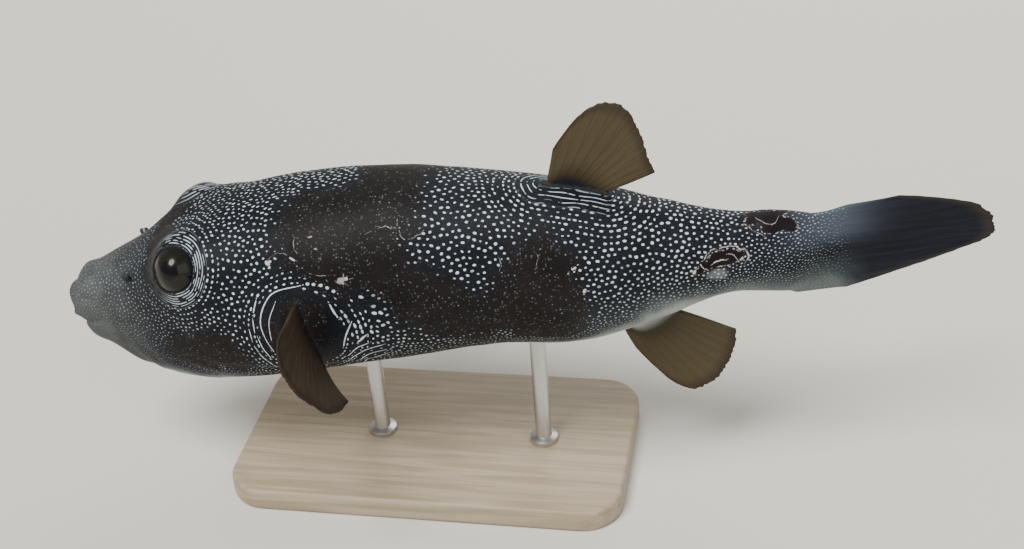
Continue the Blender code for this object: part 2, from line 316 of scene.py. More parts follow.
def fromSegment(points, start, end):
    # the way from the nearest point of a segment
    line = end - start
    part = np.clip(((points - start) @ line) / (line @ line), 0.0, 1.0)
    return points - start - part[:, None] * line


def softNoise(points, size, seed=0.0):
    shift = Vector((seed * 3.1, seed * 1.7, seed * 2.3))
    return np.array([noise.noise(Vector(point) / size + shift) for point in points])


shell = {
    "segments": 190,
    "rings": 262,
    "ringCrowding": 1.25,
    "eyeDetail": 0.021,  # faces this near an eye are split once more
    "mouthDetail": 0.017,
    "tailRoot": 0.976,
    "tailBlend": 0.060,
    "tailRounds": 36,  # how often the tail fin's root is smoothed
    "stemStart": 0.945,
    "seamWidth": 0.0026,
    "stemSeamWidth": 0.0060,
    "seamRounds": 9,
}
mouth = {
    "center": np.array((0.0085, 0.0, -0.0100)),
    "halfWidth": 0.0090,
    "halfHeight": 0.0023,
    "depth": 0.0070,
    "lipHalfWidth": 0.0112,
    "lipHalfHeight": 0.0050,
    "lipHeight": 0.0019,
    "grooveDepth": 0.0010,
    "creases": 44.0,
    "creaseHeight": 0.00012,
}
gill = {
    "place": 0.329, "top": 0.016, "bottom": -0.060, "depth": 0.0014, "width": 0.0010,
    "flapHeight": 0.0006, "flapBehind": -0.0025, "flapWidth": 0.0016,
}
finBase = {
    "dorsal": (0.659, 0.732),
    "anal": (0.735, 0.804),
    "pectoral": ((0.350, 0.020), (0.362, -0.065)),  # place and height, top and bottom
    "swell": (0.0013, 0.0013, 0.00156),
    "swellWidth": 0.0050,
}
folds = {
    "pleatHeight": 0.00030, "pleats": 46.0,  # along the belly
    "lumps": ((0.0006, 0.045, 2.0), (0.00022, 0.011, 3.0)),  # height, size, seed
    "stemHeight": 0.00022, "stemPitch": 0.0031,
    "chinHeight": 0.00035, "chinPitch": 0.0019,
}


def ridgePoint(place, below):
    return sectionPoint(place, pi if below else 0.0)[0]


def splitNear(piece, center, radius):
    selectVertices(piece, np.linalg.norm(foldSides(getPoints(piece)) - center, axis=1) < radius)
    bpy.ops.mesh.subdivide(number_cuts=1)
    leaveEdit()


dorsalEnds = [ridgePoint(place, False) for place in finBase["dorsal"]]
analEnds = [ridgePoint(place, True) for place in finBase["anal"]]
sideEnds = [surfacePoint(*where, 1.0)[0] for where in finBase["pectoral"]]


def baseDistances(points):
    # how far each point is from the dorsal, the anal and the nearer pectoral fin's base
    folded = foldSides(points)
    ways = [fromSegment(folded, *ends) for ends in (dorsalEnds, analEnds, sideEnds)]
    return [np.linalg.norm(way, axis=1) for way in ways]


def sculptHead(points):
    side = np.sign(points[:, 1] + 1e-12)
    folded = foldSides(points)
    # the orbit is a ball that the skin flows over
    seat = eye["center"] - eye["look"] * eye["orbitDepth"]
    offset = folded - seat
    reach = np.linalg.norm(offset, axis=1)
    folded = seat + offset * (smoothMax(reach, eye["orbitRadius"], eye["orbitBlend"]) / reach)[:, None]
    # the lid: a rolled rim with folds behind it, and a floor behind the ball
    offset = folded - eye["center"]
    reach = np.linalg.norm(offset, axis=1)
    _, angle = fromEyeAxis(folded)
    past = angle - eye["openingAngle"]
    rolled = reach + sum(height * hump(past, where, width) for height, where, width in eye["folds"])
    inside = smoothStep(0.0, -0.13, past)
    rolled = rolled * (1.0 - inside) + (eye["ballRadius"] - eye["sinkBehind"]) * inside
    near = np.maximum(smoothStep(1.05, 0.75, angle), inside) * (reach < eye["lidReach"])
    reachNew = reach * (1.0 - near) + rolled * near
    folded = eye["center"] + offset * (reachNew / reach)[:, None]
    return np.stack([folded[:, 0], folded[:, 1] * side, folded[:, 2]], 1)


def sculptMouth(points, normals):
    across = points[:, 1] / mouth["halfWidth"]
    lift = points[:, 2] - mouth["center"][2]
    rise = lift / mouth["halfHeight"]
    front = smoothStep(0.020, 0.012, points[:, 0])
    inside = smoothStep(1.02, 0.80, np.sqrt(across**2 + rise**2)) * front
    away = np.sqrt((points[:, 1] / mouth["lipHalfWidth"]) ** 2 + (lift / mouth["lipHalfHeight"]) ** 2)
    lip = mouth["lipHeight"] * hump(away, 1.05, 0.34) - mouth["grooveDepth"] * hump(away, 1.95, 0.25)
    creases = np.sin(np.arctan2(rise * 0.4, across) * mouth["creases"])
    lip += mouth["creaseHeight"] * creases * hump(away, 1.1, 0.4)
    moved = points + normals * (lip * front * (1.0 - inside))[:, None]
    moved[:, 0] = moved[:, 0] * (1.0 - inside) + mouth["depth"] * inside
    return moved


def skinRelief(points):
    # gill slit, swellings round the fins, belly pleats and loose folds, in metres outwards
    place, up = placeUp(points)
    folded = foldSides(points)
    relief = np.zeros(len(points))
    for away, swell in zip(baseDistances(points), finBase["swell"]):
        relief += swell * hump(away, 0.0, finBase["swellWidth"])
    middle = (gill["top"] + gill["bottom"]) / 2.0
    reach = (up - middle) / (gill["top"] - gill["bottom"]) * 2.0
    slit = (place - gill["place"] - 0.010 * reach**2) * bodyLength
    openPart = np.clip(1.0 - reach**2, 0.0, 1.0) ** 0.5 * (folded[:, 1] > 0.02)
    relief -= gill["depth"] * hump(slit, 0.0, gill["width"]) * openPart
    relief += gill["flapHeight"] * hump(slit, gill["flapBehind"], gill["flapWidth"]) * openPart
    waviness = softNoise(points, 0.030, 1.0)
    low = smoothStep(-0.055, -0.095, up) * smoothStep(0.10, 0.22, place) * smoothStep(0.80, 0.62, place)
    girth = np.arctan2(folded[:, 1], -points[:, 2] + 0.010)
    relief += folds["pleatHeight"] * np.sin(girth * folds["pleats"] + waviness * 4.0 + place * 6.0) * low
    for height, size, seed in folds["lumps"]:
        relief += height * softNoise(points, size, seed)
    turns = points[:, 0] / folds["stemPitch"] + waviness * 5.0
    relief += folds["stemHeight"] * np.sin(turns) * smoothStep(0.86, 0.93, place)
    turns = points[:, 0] / folds["chinPitch"] + up * 60.0 + waviness * 5.0
    relief += folds["chinHeight"] * np.sin(turns) * smoothStep(-0.03, -0.075, up) * hump(place, 0.085, 0.05)
    return relief


print("body shell")
deselectAll()
bpy.ops.mesh.primitive_uv_sphere_add(segments=shell["segments"], ring_count=shell["rings"], radius=1.0)
skin = startPiece("puffer_skin")
roundBall = getPoints(skin)
ringPart = np.arccos(np.clip(-roundBall[:, 2], -1.0, 1.0)) / pi
plain = sectionPoint(ringPart ** shell["ringCrowding"], np.arctan2(roundBall[:, 1], roundBall[:, 0]))
brow = np.exp(-((np.linalg.norm(foldSides(plain) - eye["center"], axis=1) / fish["browWidth"]) ** 4))
side = np.sign(plain[:, 1])[:, None] * (0.0, 1.0, 0.0) + np.array((1.0, 0.0, 1.0))
plain += fish["browHeight"] * brow[:, None] * eye["look"] * side
setPoints(skin, plain)
outwardNormals(skin)
splitNear(skin, eye["center"], shell["eyeDetail"])
splitNear(skin, mouth["center"], shell["mouthDetail"])
setPoints(skin, sculptHead(getPoints(skin)))
setPoints(skin, sculptMouth(getPoints(skin), getNormals(skin)))
points = getPoints(skin)
setPoints(skin, points + getNormals(skin) * skinRelief(points)[:, None])
print("shell faces:", len(skin.data.polygons))

# Each fin is a sheet of rays. Lengths run from its first ray to its last, and sink is how
# deep a ray starts in the body.
finSheets = {
    "dorsal": {
        "kind": 1.0, "rays": 10, "columns": 100, "rows": 26, "root": 0.0046, "edge": 0.0009,
        "lengths": (0.019, 0.0445, 0.0480, 0.0400, 0.032, 0.0265), "sink": 0.007,
        "places": (0.661, 0.730), "angles": (75.0, 20.0), "ragged": 0.014, "wave": 0.0009,
    },
    "anal": {
        "kind": 2.0, "rays": 10, "columns": 100, "rows": 26, "root": 0.0044, "edge": 0.0009,
        "lengths": (0.016, 0.046, 0.051, 0.048, 0.041, 0.034), "sink": 0.007,
        "places": (0.738, 0.802), "angles": (70.0, 24.0), "ragged": 0.020, "wave": 0.0012,
    },
    "tail": {
        "kind": 3.0, "rays": 9, "columns": 96, "rows": 44, "root": 0.0060, "edge": 0.0010,
        "lengths": (0.049, 0.084, 0.093, 0.091, 0.078, 0.056, 0.024), "sink": 0.0,
        "rayAngles": (5.4, 1.1, -0.2, 0.2, 1.4, 1.4, 0.0), "heights": (0.0170, -0.0258),
        "place": 0.962, "ragged": 0.016, "wave": 0.0016,
    },
    "pectoral": {
        "kind": 4.0, "rays": 17, "columns": 102, "rows": 24, "root": 0.0040, "edge": 0.0009,
        "lengths": (0.032, 0.043, 0.049, 0.050, 0.048, 0.042, 0.033), "sink": 0.007,
        "heights": (0.020, -0.065), "places": (0.350, 0.362), "ragged": 0.016, "wave": 0.0012,
        "firstWay": (-0.12, 0.95, -0.06), "lastWay": (0.48, 0.78, -0.36), "bow": -0.006,
    },
}
rayFork = 0.19  # how far a ray's two halves end from its middle, in gaps between rays
rayWidth = 0.11


def fromTo(pair, across):
    return pair[0] + (pair[1] - pair[0]) * across


def evenTable(values):
    return np.array([(i / (len(values) - 1), value) for i, value in enumerate(values)])


def rayLayout(name, across):
    # root, direction and length of the ray at 0 to 1 across a fin
    fin = finSheets[name]
    length = between(evenTable(fin["lengths"]), across)[0] + fin["sink"]
    if name == "pectoral":
        way = np.array(fin["firstWay"]) + np.outer(across, np.subtract(fin["lastWay"], fin["firstWay"]))
        way /= np.linalg.norm(way, axis=1)[:, None]
        root = surfacePoint(fromTo(fin["places"], across), fromTo(fin["heights"], across), 1.0)
        return root - way * fin["sink"], way, length
    if name == "tail":
        angle = np.radians(between(evenTable(fin["rayAngles"]), across)[0])
        start = np.full(len(across), fin["place"] * bodyLength)
        root = np.stack([start, 0.0 * across, fromTo(fin["heights"], across)], 1)
    else:
        below = name == "anal"
        angle = np.radians(fromTo(fin["angles"], across)) * (-1.0 if below else 1.0)
        root = sectionPoint(fromTo(fin["places"], across), np.full(len(across), pi if below else 0.0))
    way = np.stack([np.cos(angle), 0.0 * angle, np.sin(angle)], 1)
    return root - way * fin["sink"], way, length


def rayRidge(across, reach, rays):
    # 1 on a ray and 0 between two; each ray forks towards the edge
    off = across * rays - 0.5
    off = abs(off - np.round(off))
    return hump(off, rayFork * smoothStep(0.30, 1.0, reach), rayWidth)


def makeFin(name, label, mirror=False):
    fin = finSheets[name]
    deselectAll()
    bpy.ops.mesh.primitive_grid_add(x_subdivisions=fin["columns"], y_subdivisions=fin["rows"], size=2.0)
    piece = startPiece(label)
    flat = getPoints(piece)
    across, reach = (flat[:, 0] + 1.0) / 2.0, (flat[:, 1] + 1.0) / 2.0
    root, way, length = rayLayout(name, across)
    nextRoot, nextWay, nextLength = rayLayout(name, np.minimum(across + 0.01, 1.0))
    lastRoot, lastWay, lastLength = rayLayout(name, np.maximum(across - 0.01, 0.0))
    spread = nextRoot + nextWay * (nextLength * reach)[:, None]
    spread -= lastRoot + lastWay * (lastLength * reach)[:, None]
    facing = np.cross(way, spread)
    facing /= np.linalg.norm(facing, axis=1)[:, None]
    ridge = rayRidge(across, np.ones(len(across)), fin["rays"])
    line = np.stack([across, 0.0 * across, 0.0 * across], 1)
    rough = softNoise(line, 0.11, fin["kind"]) + softNoise(line, 0.03, fin["kind"] + 3.0)
    trim = fin["ragged"] * (0.4 * ridge - 0.4 + 0.9 * rough) * smoothStep(0.6, 1.0, reach)
    bow = fin.get("bow", 0.0) * reach**2
    bow += fin["wave"] * np.sin(across * 9.0 + reach * 3.0 + fin["kind"]) * reach**1.5
    at = root + way * (length * reach * (1.0 + trim))[:, None] + facing * bow[:, None]
    setPoints(piece, at * (1.0, -1.0, 1.0) if mirror else at)
    thick = fin["root"] + (fin["edge"] - fin["root"]) * reach**0.55
    thick *= 0.88 + 0.12 * rayRidge(across, reach, fin["rays"]) * smoothStep(0.12, 0.3, reach)
    group = piece.vertex_groups.new(name="thick")
    for index, weight in enumerate(np.clip(thick / fin["root"], 0.0, 1.0)):
        group.add([index], float(weight), "REPLACE")
    # the fins are told apart later by the ray, the reach and the kind kept at each point
    keepVectors(piece, "ray", (across, reach, np.full(len(across), fin["kind"])))
    applyModifier(
        piece, "SOLIDIFY", thickness=fin["root"], offset=0.0, use_rim=True,
        vertex_group="thick", thickness_vertex_group=0.0,
    )
    piece.vertex_groups.clear()
    outwardNormals(piece)
    return piece


print("fins")
finPieces = [makeFin(name, name) for name in ("dorsal", "anal", "tail")]
finPieces += [makeFin("pectoral", "pectoralRight"), makeFin("pectoral", "pectoralLeft", mirror=True)]

# the forked flap over each nostril
nostril = {
    "place": 0.098,
    "angle": radians(40.0),
    "sink": 0.0030,
    "stem": (-0.10, 0.40, 0.90),
    "stemLength": 0.0024,
    "tips": ((-0.0018, 0.0010, 0.0022), (0.0016, 0.0012, 0.0024)),
    "radii": (0.00195, 0.001495, 0.000975, 0.000975),
}


def makeFlap(label, side):
    turn = Vector((1.0, side, 1.0))
    foot = sectionPoint(nostril["place"], nostril["angle"])
    brow = np.exp(-((np.linalg.norm(foot - eye["center"], axis=1) / fish["browWidth"]) ** 4))
    foot = Vector((foot + eye["look"] * fish["browHeight"] * brow[:, None])[0]) * turn
    stem = Vector(nostril["stem"]).normalized() * turn
    deselectAll()
    bpy.ops.mesh.primitive_plane_add(size=millimetre, location=foot - stem * nostril["sink"])
    bpy.ops.object.transform_apply(location=True, rotation=False, scale=False)
    piece = startPiece(label)
    bpy.ops.object.mode_set(mode="EDIT")
    bpy.ops.mesh.merge(type="CENTER")
    rise = stem * (nostril["sink"] + nostril["stemLength"])
    bpy.ops.mesh.extrude_region_move(TRANSFORM_OT_translate={"value": rise})
    for tip in nostril["tips"]:
        selectVertices(piece, [i == 1 for i in range(len(piece.data.vertices))])
        bpy.ops.mesh.extrude_region_move(TRANSFORM_OT_translate={"value": Vector(tip) * turn})
        leaveEdit()
    piece.modifiers.new("thickness", "SKIN")
    for corner, radius in zip(piece.data.skin_vertices[0].data, nostril["radii"]):
        corner.radius = (radius, radius)
    bpy.ops.object.modifier_apply(modifier="thickness")
    applyModifier(piece, "SUBSURF", levels=2, render_levels=2)
    outwardNormals(piece)
    return piece


flapPieces = [makeFlap("flapLeft", -1.0), makeFlap("flapRight", 1.0)]

# one skin: the fins and flaps grow out of the shell
print("one skin")
finTree = treeOf(np.concatenate([getPoints(piece) for piece in finPieces]))
finRays = np.concatenate([readVectors(piece.data.attributes["ray"].data, "vector") for piece in finPieces])
oldTree = treeOf(np.concatenate([getPoints(piece) for piece in (skin, *finPieces, *flapPieces)]))

pick(*finPieces, *flapPieces)
bpy.ops.object.join()
limbs = bpy.context.object
applyModifier(skin, "BOOLEAN", operation="UNION", solver="MANIFOLD", object=limbs)
bpy.data.objects.remove(limbs, do_unlink=True)
print("joined faces:", len(skin.data.polygons))

# smooth where the union made new points, and over a longer stretch at the tail fin's root
edit(skin)
bpy.ops.mesh.remove_doubles(threshold=0.05 * millimetre)
leaveEdit()
points = getPoints(skin)
fresh = nearest(oldTree, points)[1] > 0.001 * millimetre
seamAway = nearest(treeOf(points[fresh]), points)[1]
onStem = points[:, 0] > shell["stemStart"] * bodyLength
selectVertices(skin, seamAway < np.where(onStem, shell["stemSeamWidth"], shell["seamWidth"]))
bpy.ops.mesh.vertices_smooth(factor=0.5, repeat=shell["seamRounds"])
leaveEdit()
rough = getPoints(skin)
fromRoot = abs(rough[:, 0] / bodyLength - shell["tailRoot"]) / shell["tailBlend"]
selectVertices(skin, fromRoot < 1.0)
bpy.ops.mesh.vertices_smooth(factor=0.5, repeat=shell["tailRounds"])
leaveEdit()
setPoints(skin, rough + (getPoints(skin) - rough) * smoothStep(1.0, 0.3, fromRoot)[:, None])
edit(skin)
bpy.ops.mesh.quads_convert_to_tris(quad_method="BEAUTY", ngon_method="BEAUTY")
leaveEdit()
print("skin triangles:", len(skin.data.polygons))

# what the markings need to know of each point of the straight fish
straight = getPoints(skin)
place, up = placeUp(straight)
found, away = nearest(finTree, straight)
onFin = (away < np.where(straight[:, 0] > 0.955 * bodyLength, 0.0040, 0.0012)) * 1.0
rays = finRays[found] * onFin[:, None]
# where along a ray the fin starts: off the fins, then dorsal, anal, tail and pectoral
finStart = np.array([1.0, 0.15, 0.14, 1.0, 0.14])[np.round(rays[:, 2]).astype(int)]
finPart = onFin * smoothStep(0.02, 0.14, rays[:, 1] - finStart)
# the tail's dark fin starts well behind the root, and further forward above than below
tailEdge = 0.3825 - 0.0030 * smoothStep(-0.010, 0.012, straight[:, 2])
tailEdge += 0.0030 * softNoise(straight, 0.006, 9.0)
finPart = np.maximum(finPart, smoothStep(-0.011, 0.010, straight[:, 0] - tailEdge))

bellyEdge = np.array([  # place along the body, height where the belly turns pale
    (-0.10, -0.072), (0.00, -0.074), (0.10, -0.122), (0.30, -0.128), (0.45, -0.110),
    (0.60, -0.097), (0.70, -0.088), (0.80, -0.060), (0.90, -0.046), (1.00, -0.056), (1.15, -0.060),
])
darkPatches = {  # centre and half size along and up, strength
    "saddle": ((0.395, 0.088), (0.072, 0.056), 0.97),
    "saddleTop": ((0.464, 0.122), (0.048, 0.034), 0.95),
    "saddleFoot": ((0.455, 0.072), (0.045, 0.032), 0.92),
    "shoulder": ((0.470, 0.030), (0.080, 0.038), 0.92),
    "flank": ((0.570, -0.010), (0.105, 0.044), 0.92),
    "blotch": ((0.655, 0.024), (0.040, 0.060), 1.00),
    "belt": ((0.645, -0.045), (0.064, 0.028), 0.92),
    "cheek": ((0.206, -0.070), (0.066, 0.040), 0.96),
    # painted shade: the skin in front of the eye is darkened, drawing the eye's dark shape forwards
    "loreShade": ((0.150, 0.054), (0.025, 0.027), 0.85),
    "armpit": ((0.350, -0.028), (0.050, 0.052), 1.00),
}
wounds = {  # raw places on the left side: centre, half size, lean
    "stemSide": ((0.873, 0.017), (0.027, 0.0095), 0.10),
    "stemLow": ((0.849, 0.010), (0.014, 0.0070), 0.45),
    "stemTop": ((0.930, 0.050), (0.034, 0.0115), -0.25),
}
healed = ((0.864, -0.004), (0.013, 0.0085))  # the grey patch under the larger wound
pectoralDots = ((0.436, -0.004), (0.032, 0.040))  # the big dots behind the fin's dark patch


def blob(place, up, center, size):
    reach = np.sqrt(((place - center[0]) / size[0]) ** 2 + ((up - center[1]) / size[1]) ** 2)
    return smoothStep(1.22, 0.62, reach)


def edgeWarp(points):
    # how far the edges of the dark patches and the belly stray
    return softNoise(points, 0.020, 5.0) + 0.45 * softNoise(points, 0.0075, 15.0)


def darkness(points, warp):
    place, up = placeUp(points)
    # the saddle lies lower on the right side, so that the back's middle line keeps its dots
    lower = 0.060 * smoothStep(-0.010, 0.002, points[:, 1])
    clear = np.ones(len(points))
    for name, (center, size, strength) in darkPatches.items():
        height = up + lower if name == "saddle" else up
        clear *= 1.0 - strength * blob(place + warp * 0.034, height + warp * 0.022, center, size)
    return (1.0 - clear) * (1.0 - 0.8 * blob(place, up, *pectoralDots))


def overBelly(points):
    # height over the belly's pale edge
    place, up = placeUp(points)
    return up - np.interp(place, *bellyEdge.T)


def paleness(points, warp):
    place, up = placeUp(points)
    wide = 0.022 + 0.036 * smoothStep(0.66, 0.80, place)
    found = smoothStep(wide, -0.014, overBelly(points) + warp * 0.014)
    found *= 1.0 - 0.40 * smoothStep(0.84, 0.94, place)
    rear = smoothStep(0.66, 0.73, place) * smoothStep(0.92, 0.84, place)
    return np.maximum(found, 0.26 * rear * smoothStep(0.005, -0.055, up + warp * 0.010))


def rawness(points, ragged):
    # 0 off the wounds to 1 inside one
    place, up = placeUp(points)
    found = np.zeros(len(points))
    for center, size, lean in wounds.values():
        along = place - center[0]
        rise = up - center[1] - lean * along
        reach = np.sqrt((along / size[0]) ** 2 + (rise / size[1]) ** 2) + 0.5 * ragged
        found = np.maximum(found, smoothStep(1.10, 0.75, reach) * (points[:, 1] < 0.001))
    return found


warp = edgeWarp(straight)
ragged = softNoise(straight, 0.0045, 7.0)
dark = darkness(straight, warp)
pale = paleness(straight, warp)
raw = rawness(straight, ragged)
mended = blob(place, up + ragged * 0.004, *healed) * (straight[:, 1] < 0.001)
# painted sheen: a pale bluish patch over the top of the tail's root, where light catches it
paintedSheen = hump(straight[:, 0], 0.373, 0.018) * smoothStep(-0.004, 0.011, straight[:, 2])

# rings and rows: a running count of lines outwards from each eye and fin base
rows = {
    "eyeStart": 0.0120, "eyePitch": 0.00118, "eyeEnd": 0.0180, "eyeLine": 0.135,
    "baseStart": 0.0046, "basePitch": 0.0027, "dorsalEnd": 0.0138,
    "analEnd": 0.0070, "baseLine": 0.078,
}
away, _ = fromEyeAxis(straight)
eyeMask = smoothStep(1.06, 0.90, away / rows["eyeEnd"]) * smoothStep(0.97, 1.0, away / rows["eyeStart"])
eyeMask *= (place < 0.32) * smoothStep(-0.012, 0.0, straight[:, 2])
behind = (straight[:, 0] - eye["center"][0]) / np.maximum(away, 0.001)
eyeMask *= 0.10 + 0.90 * smoothStep(-0.80, 0.0, behind)
dorsalAway, analAway, _ = baseDistances(straight)
dorsalMask = smoothStep(1.06, 0.86, dorsalAway / rows["dorsalEnd"]) * smoothStep(0.752, 0.725, place)
dorsalMask *= smoothStep(0.6, 0.9, dorsalAway / rows["baseStart"])
analMask = 0.5 * smoothStep(1.10, 0.80, analAway / rows["analEnd"])
wave = softNoise(straight, 0.009, 12.0)
phase = (away - rows["eyeStart"]) / rows["eyePitch"] + 0.35 * wave
baseRow = (dorsalAway - rows["baseStart"]) / rows["basePitch"] + 0.6 * wave
phase = np.where(dorsalMask > 0.0, 40.0 + baseRow, phase)
baseRow = (analAway - rows["baseStart"]) / rows["basePitch"]
phase = np.where(analMask > 0.0, 80.0 + baseRow, phase)
thin = np.where(dorsalMask + analMask > 0.0, rows["baseLine"], rows["eyeLine"])
rowMask = np.maximum(eyeMask, np.maximum(dorsalMask, analMask)) * (1.0 - onFin)
rayLayer = skin.data.attributes.get("ray")
if rayLayer:
    skin.data.attributes.remove(rayLayer)
keepVectors(skin, "rows", (phase, rowMask, thin))
keepVectors(skin, "tones", (pale, dark, finPart))
keepVectors(skin, "woundsAndSheen", (raw, mended, paintedSheen))
# raw and mended are wounds; the third value is the painted sheen over the tail's root
keepVectors(skin, "layout", straight.T)
keepVectors(skin, "ray", rays.T)

# lines and scars: each is a row of marks along a stroke on the skin
print("lines and scars")
tree = surfaceOf(skin)
triangles = np.array([face.vertices[:] for face in skin.data.polygons])


def touchSkin(points):
    # the nearest place on the skin, its facing and its face, for each point
    hits = [tree.find_nearest(Vector(point))[:3] for point in points]
    return [np.array(column) for column in zip(*hits)]


# lines round the pectoral fin's dark patch, in millimetres behind and above its middle
patchMiddle = (0.352, -0.028)
patchLines = (  # half width, points
    (0.42, ((3, 25), (-12, 21.5), (-18.5, 14.5), (-21.6, 5.8), (-20.8, -2.5), (-18.4, -9.5))),
    (0.30, ((-12, 16.5), (-16.8, 7), (-17.8, -3.5))),
    (0.46, ((-21.8, 18), (-24.6, 11.0))),
    (0.42, ((-25.4, 7.5), (-25.8, 1.5))),
    (0.38, ((-24.8, -2.0), (-23.6, -8.0), (-20.8, -14.5))),
    (0.36, ((-28.6, 3.0), (-28.4, -4.0))),
    (0.36, ((-27.6, -8.0), (-24.6, -15.0), (-20.0, -21.0))),
    (0.66, ((15.4, 16.0), (17.0, 11.6), (18.6, 8.2))),
    (0.50, ((24.4, 5.0), (20.6, -2.0), (18.0, -8.6))),
    (0.72, ((29.6, -3.0), (26.0, -6.0))),
    (0.38, ((30.5, -7.5), (24.0, -10.5), (18.0, -16.0))),
    (0.38, ((37.0, -9.5), (27.0, -12.8), (19.0, -18.5), (15.0, -22.5))),
    (0.32, ((38.0, -13.5), (28.0, -16.5), (19.5, -23.0))),
    (0.30, ((37.0, -17.0), (28.0, -20.5), (20.0, -27.0))),
)
patchBeads = ((6, 25.5, 0.75), (9, 25.2, 0.7), (12.5, 24.6, 0.8), (15.5, 23.4, 0.7), (18.4, 21.6, 0.75))
scars = (  # half width in millimetres, strength, points as place along the body and height
    (0.13, 0.55, ((0.315, 0.067), (0.322, 0.073), (0.333, 0.075), (0.341, 0.073))),
    (0.14, 0.55, ((0.352, 0.088), (0.350, 0.081), (0.354, 0.077))),
    (0.12, 0.40, ((0.372, 0.054), (0.384, 0.051), (0.396, 0.050))),
    (0.17, 0.40, ((0.416, 0.046), (0.417, 0.051))),
    (0.20, 0.45, ((0.419, 0.044), (0.426, 0.045))),
    (0.17, 0.35, ((0.418, 0.042), (0.421, 0.038))),
    (0.13, 0.80, ((0.461, 0.098), (0.474, 0.097), (0.484, 0.095), (0.493, 0.086))),
    (0.12, 0.75, ((0.484, 0.095), (0.486, 0.105))),
    (0.11, 0.55, ((0.502, 0.085), (0.512, 0.088), (0.520, 0.093))),
    (0.11, 0.45, ((0.444, 0.091), (0.452, 0.094))),
    (0.12, 0.45, ((0.610, 0.058), (0.612, 0.050), (0.610, 0.043))),
    (0.11, 0.45, ((0.652, 0.062), (0.656, 0.054), (0.654, 0.046))),
    (0.16, 0.50, ((0.699, 0.037), (0.702, 0.032))),
    (0.30, 0.80, ((0.847, 0.020), (0.856, 0.028), (0.868, 0.031), (0.882, 0.030))),
    (0.30, 0.90, ((0.858, 0.013), (0.866, 0.015), (0.877, 0.015))),
    (0.32, 0.85, ((0.885, 0.030), (0.897, 0.024), (0.903, 0.015), (0.899, 0.008))),
    (0.16, 0.60, ((0.878, 0.022), (0.886, 0.018), (0.890, 0.012))),
    (0.20, 0.70, ((0.846, 0.013), (0.852, 0.007))),
    (0.14, 0.75, ((0.918, 0.051), (0.926, 0.047), (0.936, 0.046), (0.944, 0.050))),
    (0.15, 0.75, ((0.904, 0.047), (0.914, 0.040), (0.924, 0.036))),
    (0.18, 0.55, ((1.048, -0.016), (1.054, -0.014))),
)
scarBlots = (  # place, height, half sizes in millimetres, lean in degrees, strength; left side
    (0.3140, 0.0643, 1.55, 1.00, -50.0, 0.95),
    (0.3490, 0.0690, 1.75, 0.50, -32.0, 0.80),
    (0.3730, 0.0900, 1.10, 0.45, 20.0, 0.45),
    (0.3810, 0.0790, 0.90, 0.45, -10.0, 0.40),
    (0.4160, 0.0435, 3.20, 1.90, 12.0, 0.50),
    (0.4195, 0.0450, 1.50, 0.90, 60.0, 0.75),
    (0.6975, 0.0380, 1.20, 0.85, 20.0, 0.90),
    (0.7080, 0.0060, 1.25, 0.80, 60.0, 0.85),
    (0.8370, 0.0060, 1.25, 0.70, 55.0, 0.85),
    (0.8950, 0.0130, 1.20, 0.60, 40.0, 0.60),
)

strokeLook = {
    "step": 0.00033,  # from mark to mark along a stroke
    "lineWidth": 0.72,
    "lineTone": 0.92,
    "beadLength": 1.2,
    "beadTone": 0.90,
    "scarStray": 0.0007,  # how far a scar wanders off its line
    "scarHeight": 0.00030,
    "scarWidth": 0.0011,
}


def strokeMarks(points, halfWidth, tone, kind):
    # samples along a smooth line on the skin; kind is 1 for a scar, 0 for a line
    points = np.asarray(points, float)
    steps = np.concatenate([[0.0], np.cumsum(np.linalg.norm(np.diff(points, axis=0), axis=1))])
    count = max(3, int(steps[-1] / strokeLook["step"]))
    at = between(np.column_stack([steps, points]), np.linspace(0.0, steps[-1], count)).T
    stray = np.stack([softNoise(at, 0.0026, seed) for seed in (3.0, 4.0, 6.0)], 1)
    at, facing, _ = touchSkin(at + stray * kind * strokeLook["scarStray"])
    way = np.gradient(at, axis=0)
    end = np.full(count, 2.0)
    end[0], end[-1] = -1.0, 1.0
    taper = halfWidth * (0.45 + 0.55 * np.sin(np.linspace(0.2, pi - 0.2, count)))
    taper = taper * (1.0 + (0.25 + 0.5 * kind) * softNoise(at, 0.0014, kind + 2.0))
    tones = tone * np.clip(1.0 + kind * (1.3 * softNoise(at, 0.0024, 8.0) - 0.25), 0.0, 1.0)
    return np.column_stack([at, way, facing, taper, taper, tones, end + 10.0 * kind])


def singleMark(where, way, sizes):
    at, facing, _ = touchSkin(where)
    return np.array([[*at[0], *way, *facing[0], *sizes]])


def besidePatch(offsets, side):
    # places on one side from millimetres behind and above the patch's middle
    offsets = np.atleast_2d(offsets) * millimetre / bodyLength
    return surfacePoint(patchMiddle[0] + offsets[:, 0], patchMiddle[1] + offsets[:, 1], side)


strokes = []
for side in (-1.0, 1.0):
    for halfWidth, line in patchLines:
        wide = halfWidth * strokeLook["lineWidth"] * millimetre
        strokes.append(strokeMarks(besidePatch(line, side), wide, strokeLook["lineTone"], 0.0))
    for x, z, halfWidth in patchBeads:
        wide = halfWidth * millimetre
        sizes = (wide * strokeLook["beadLength"], wide, strokeLook["beadTone"], 0.0)
        strokes.append(singleMark(besidePatch((x, z), side), (1.0, 0.0, 0.0), sizes))
scarLines = []
for halfWidth, strength, line in scars:
    where = surfacePoint(*np.transpose(line), -1.0)
    scarLines.append(strokeMarks(where, halfWidth * millimetre, strength, 1.0))
for x, z, long, wide, lean, strength in scarBlots:
    way = (cos(radians(lean)), 0.0, sin(radians(lean)))
    sizes = (long * millimetre, wide * millimetre, strength, 10.0)
    scarLines.append(singleMark(surfacePoint(x, z, -1.0), way, sizes))
scarLines = np.concatenate(scarLines)
strokes = np.concatenate([*strokes, scarLines])
strokeTree = treeOf(strokes[:, :3])

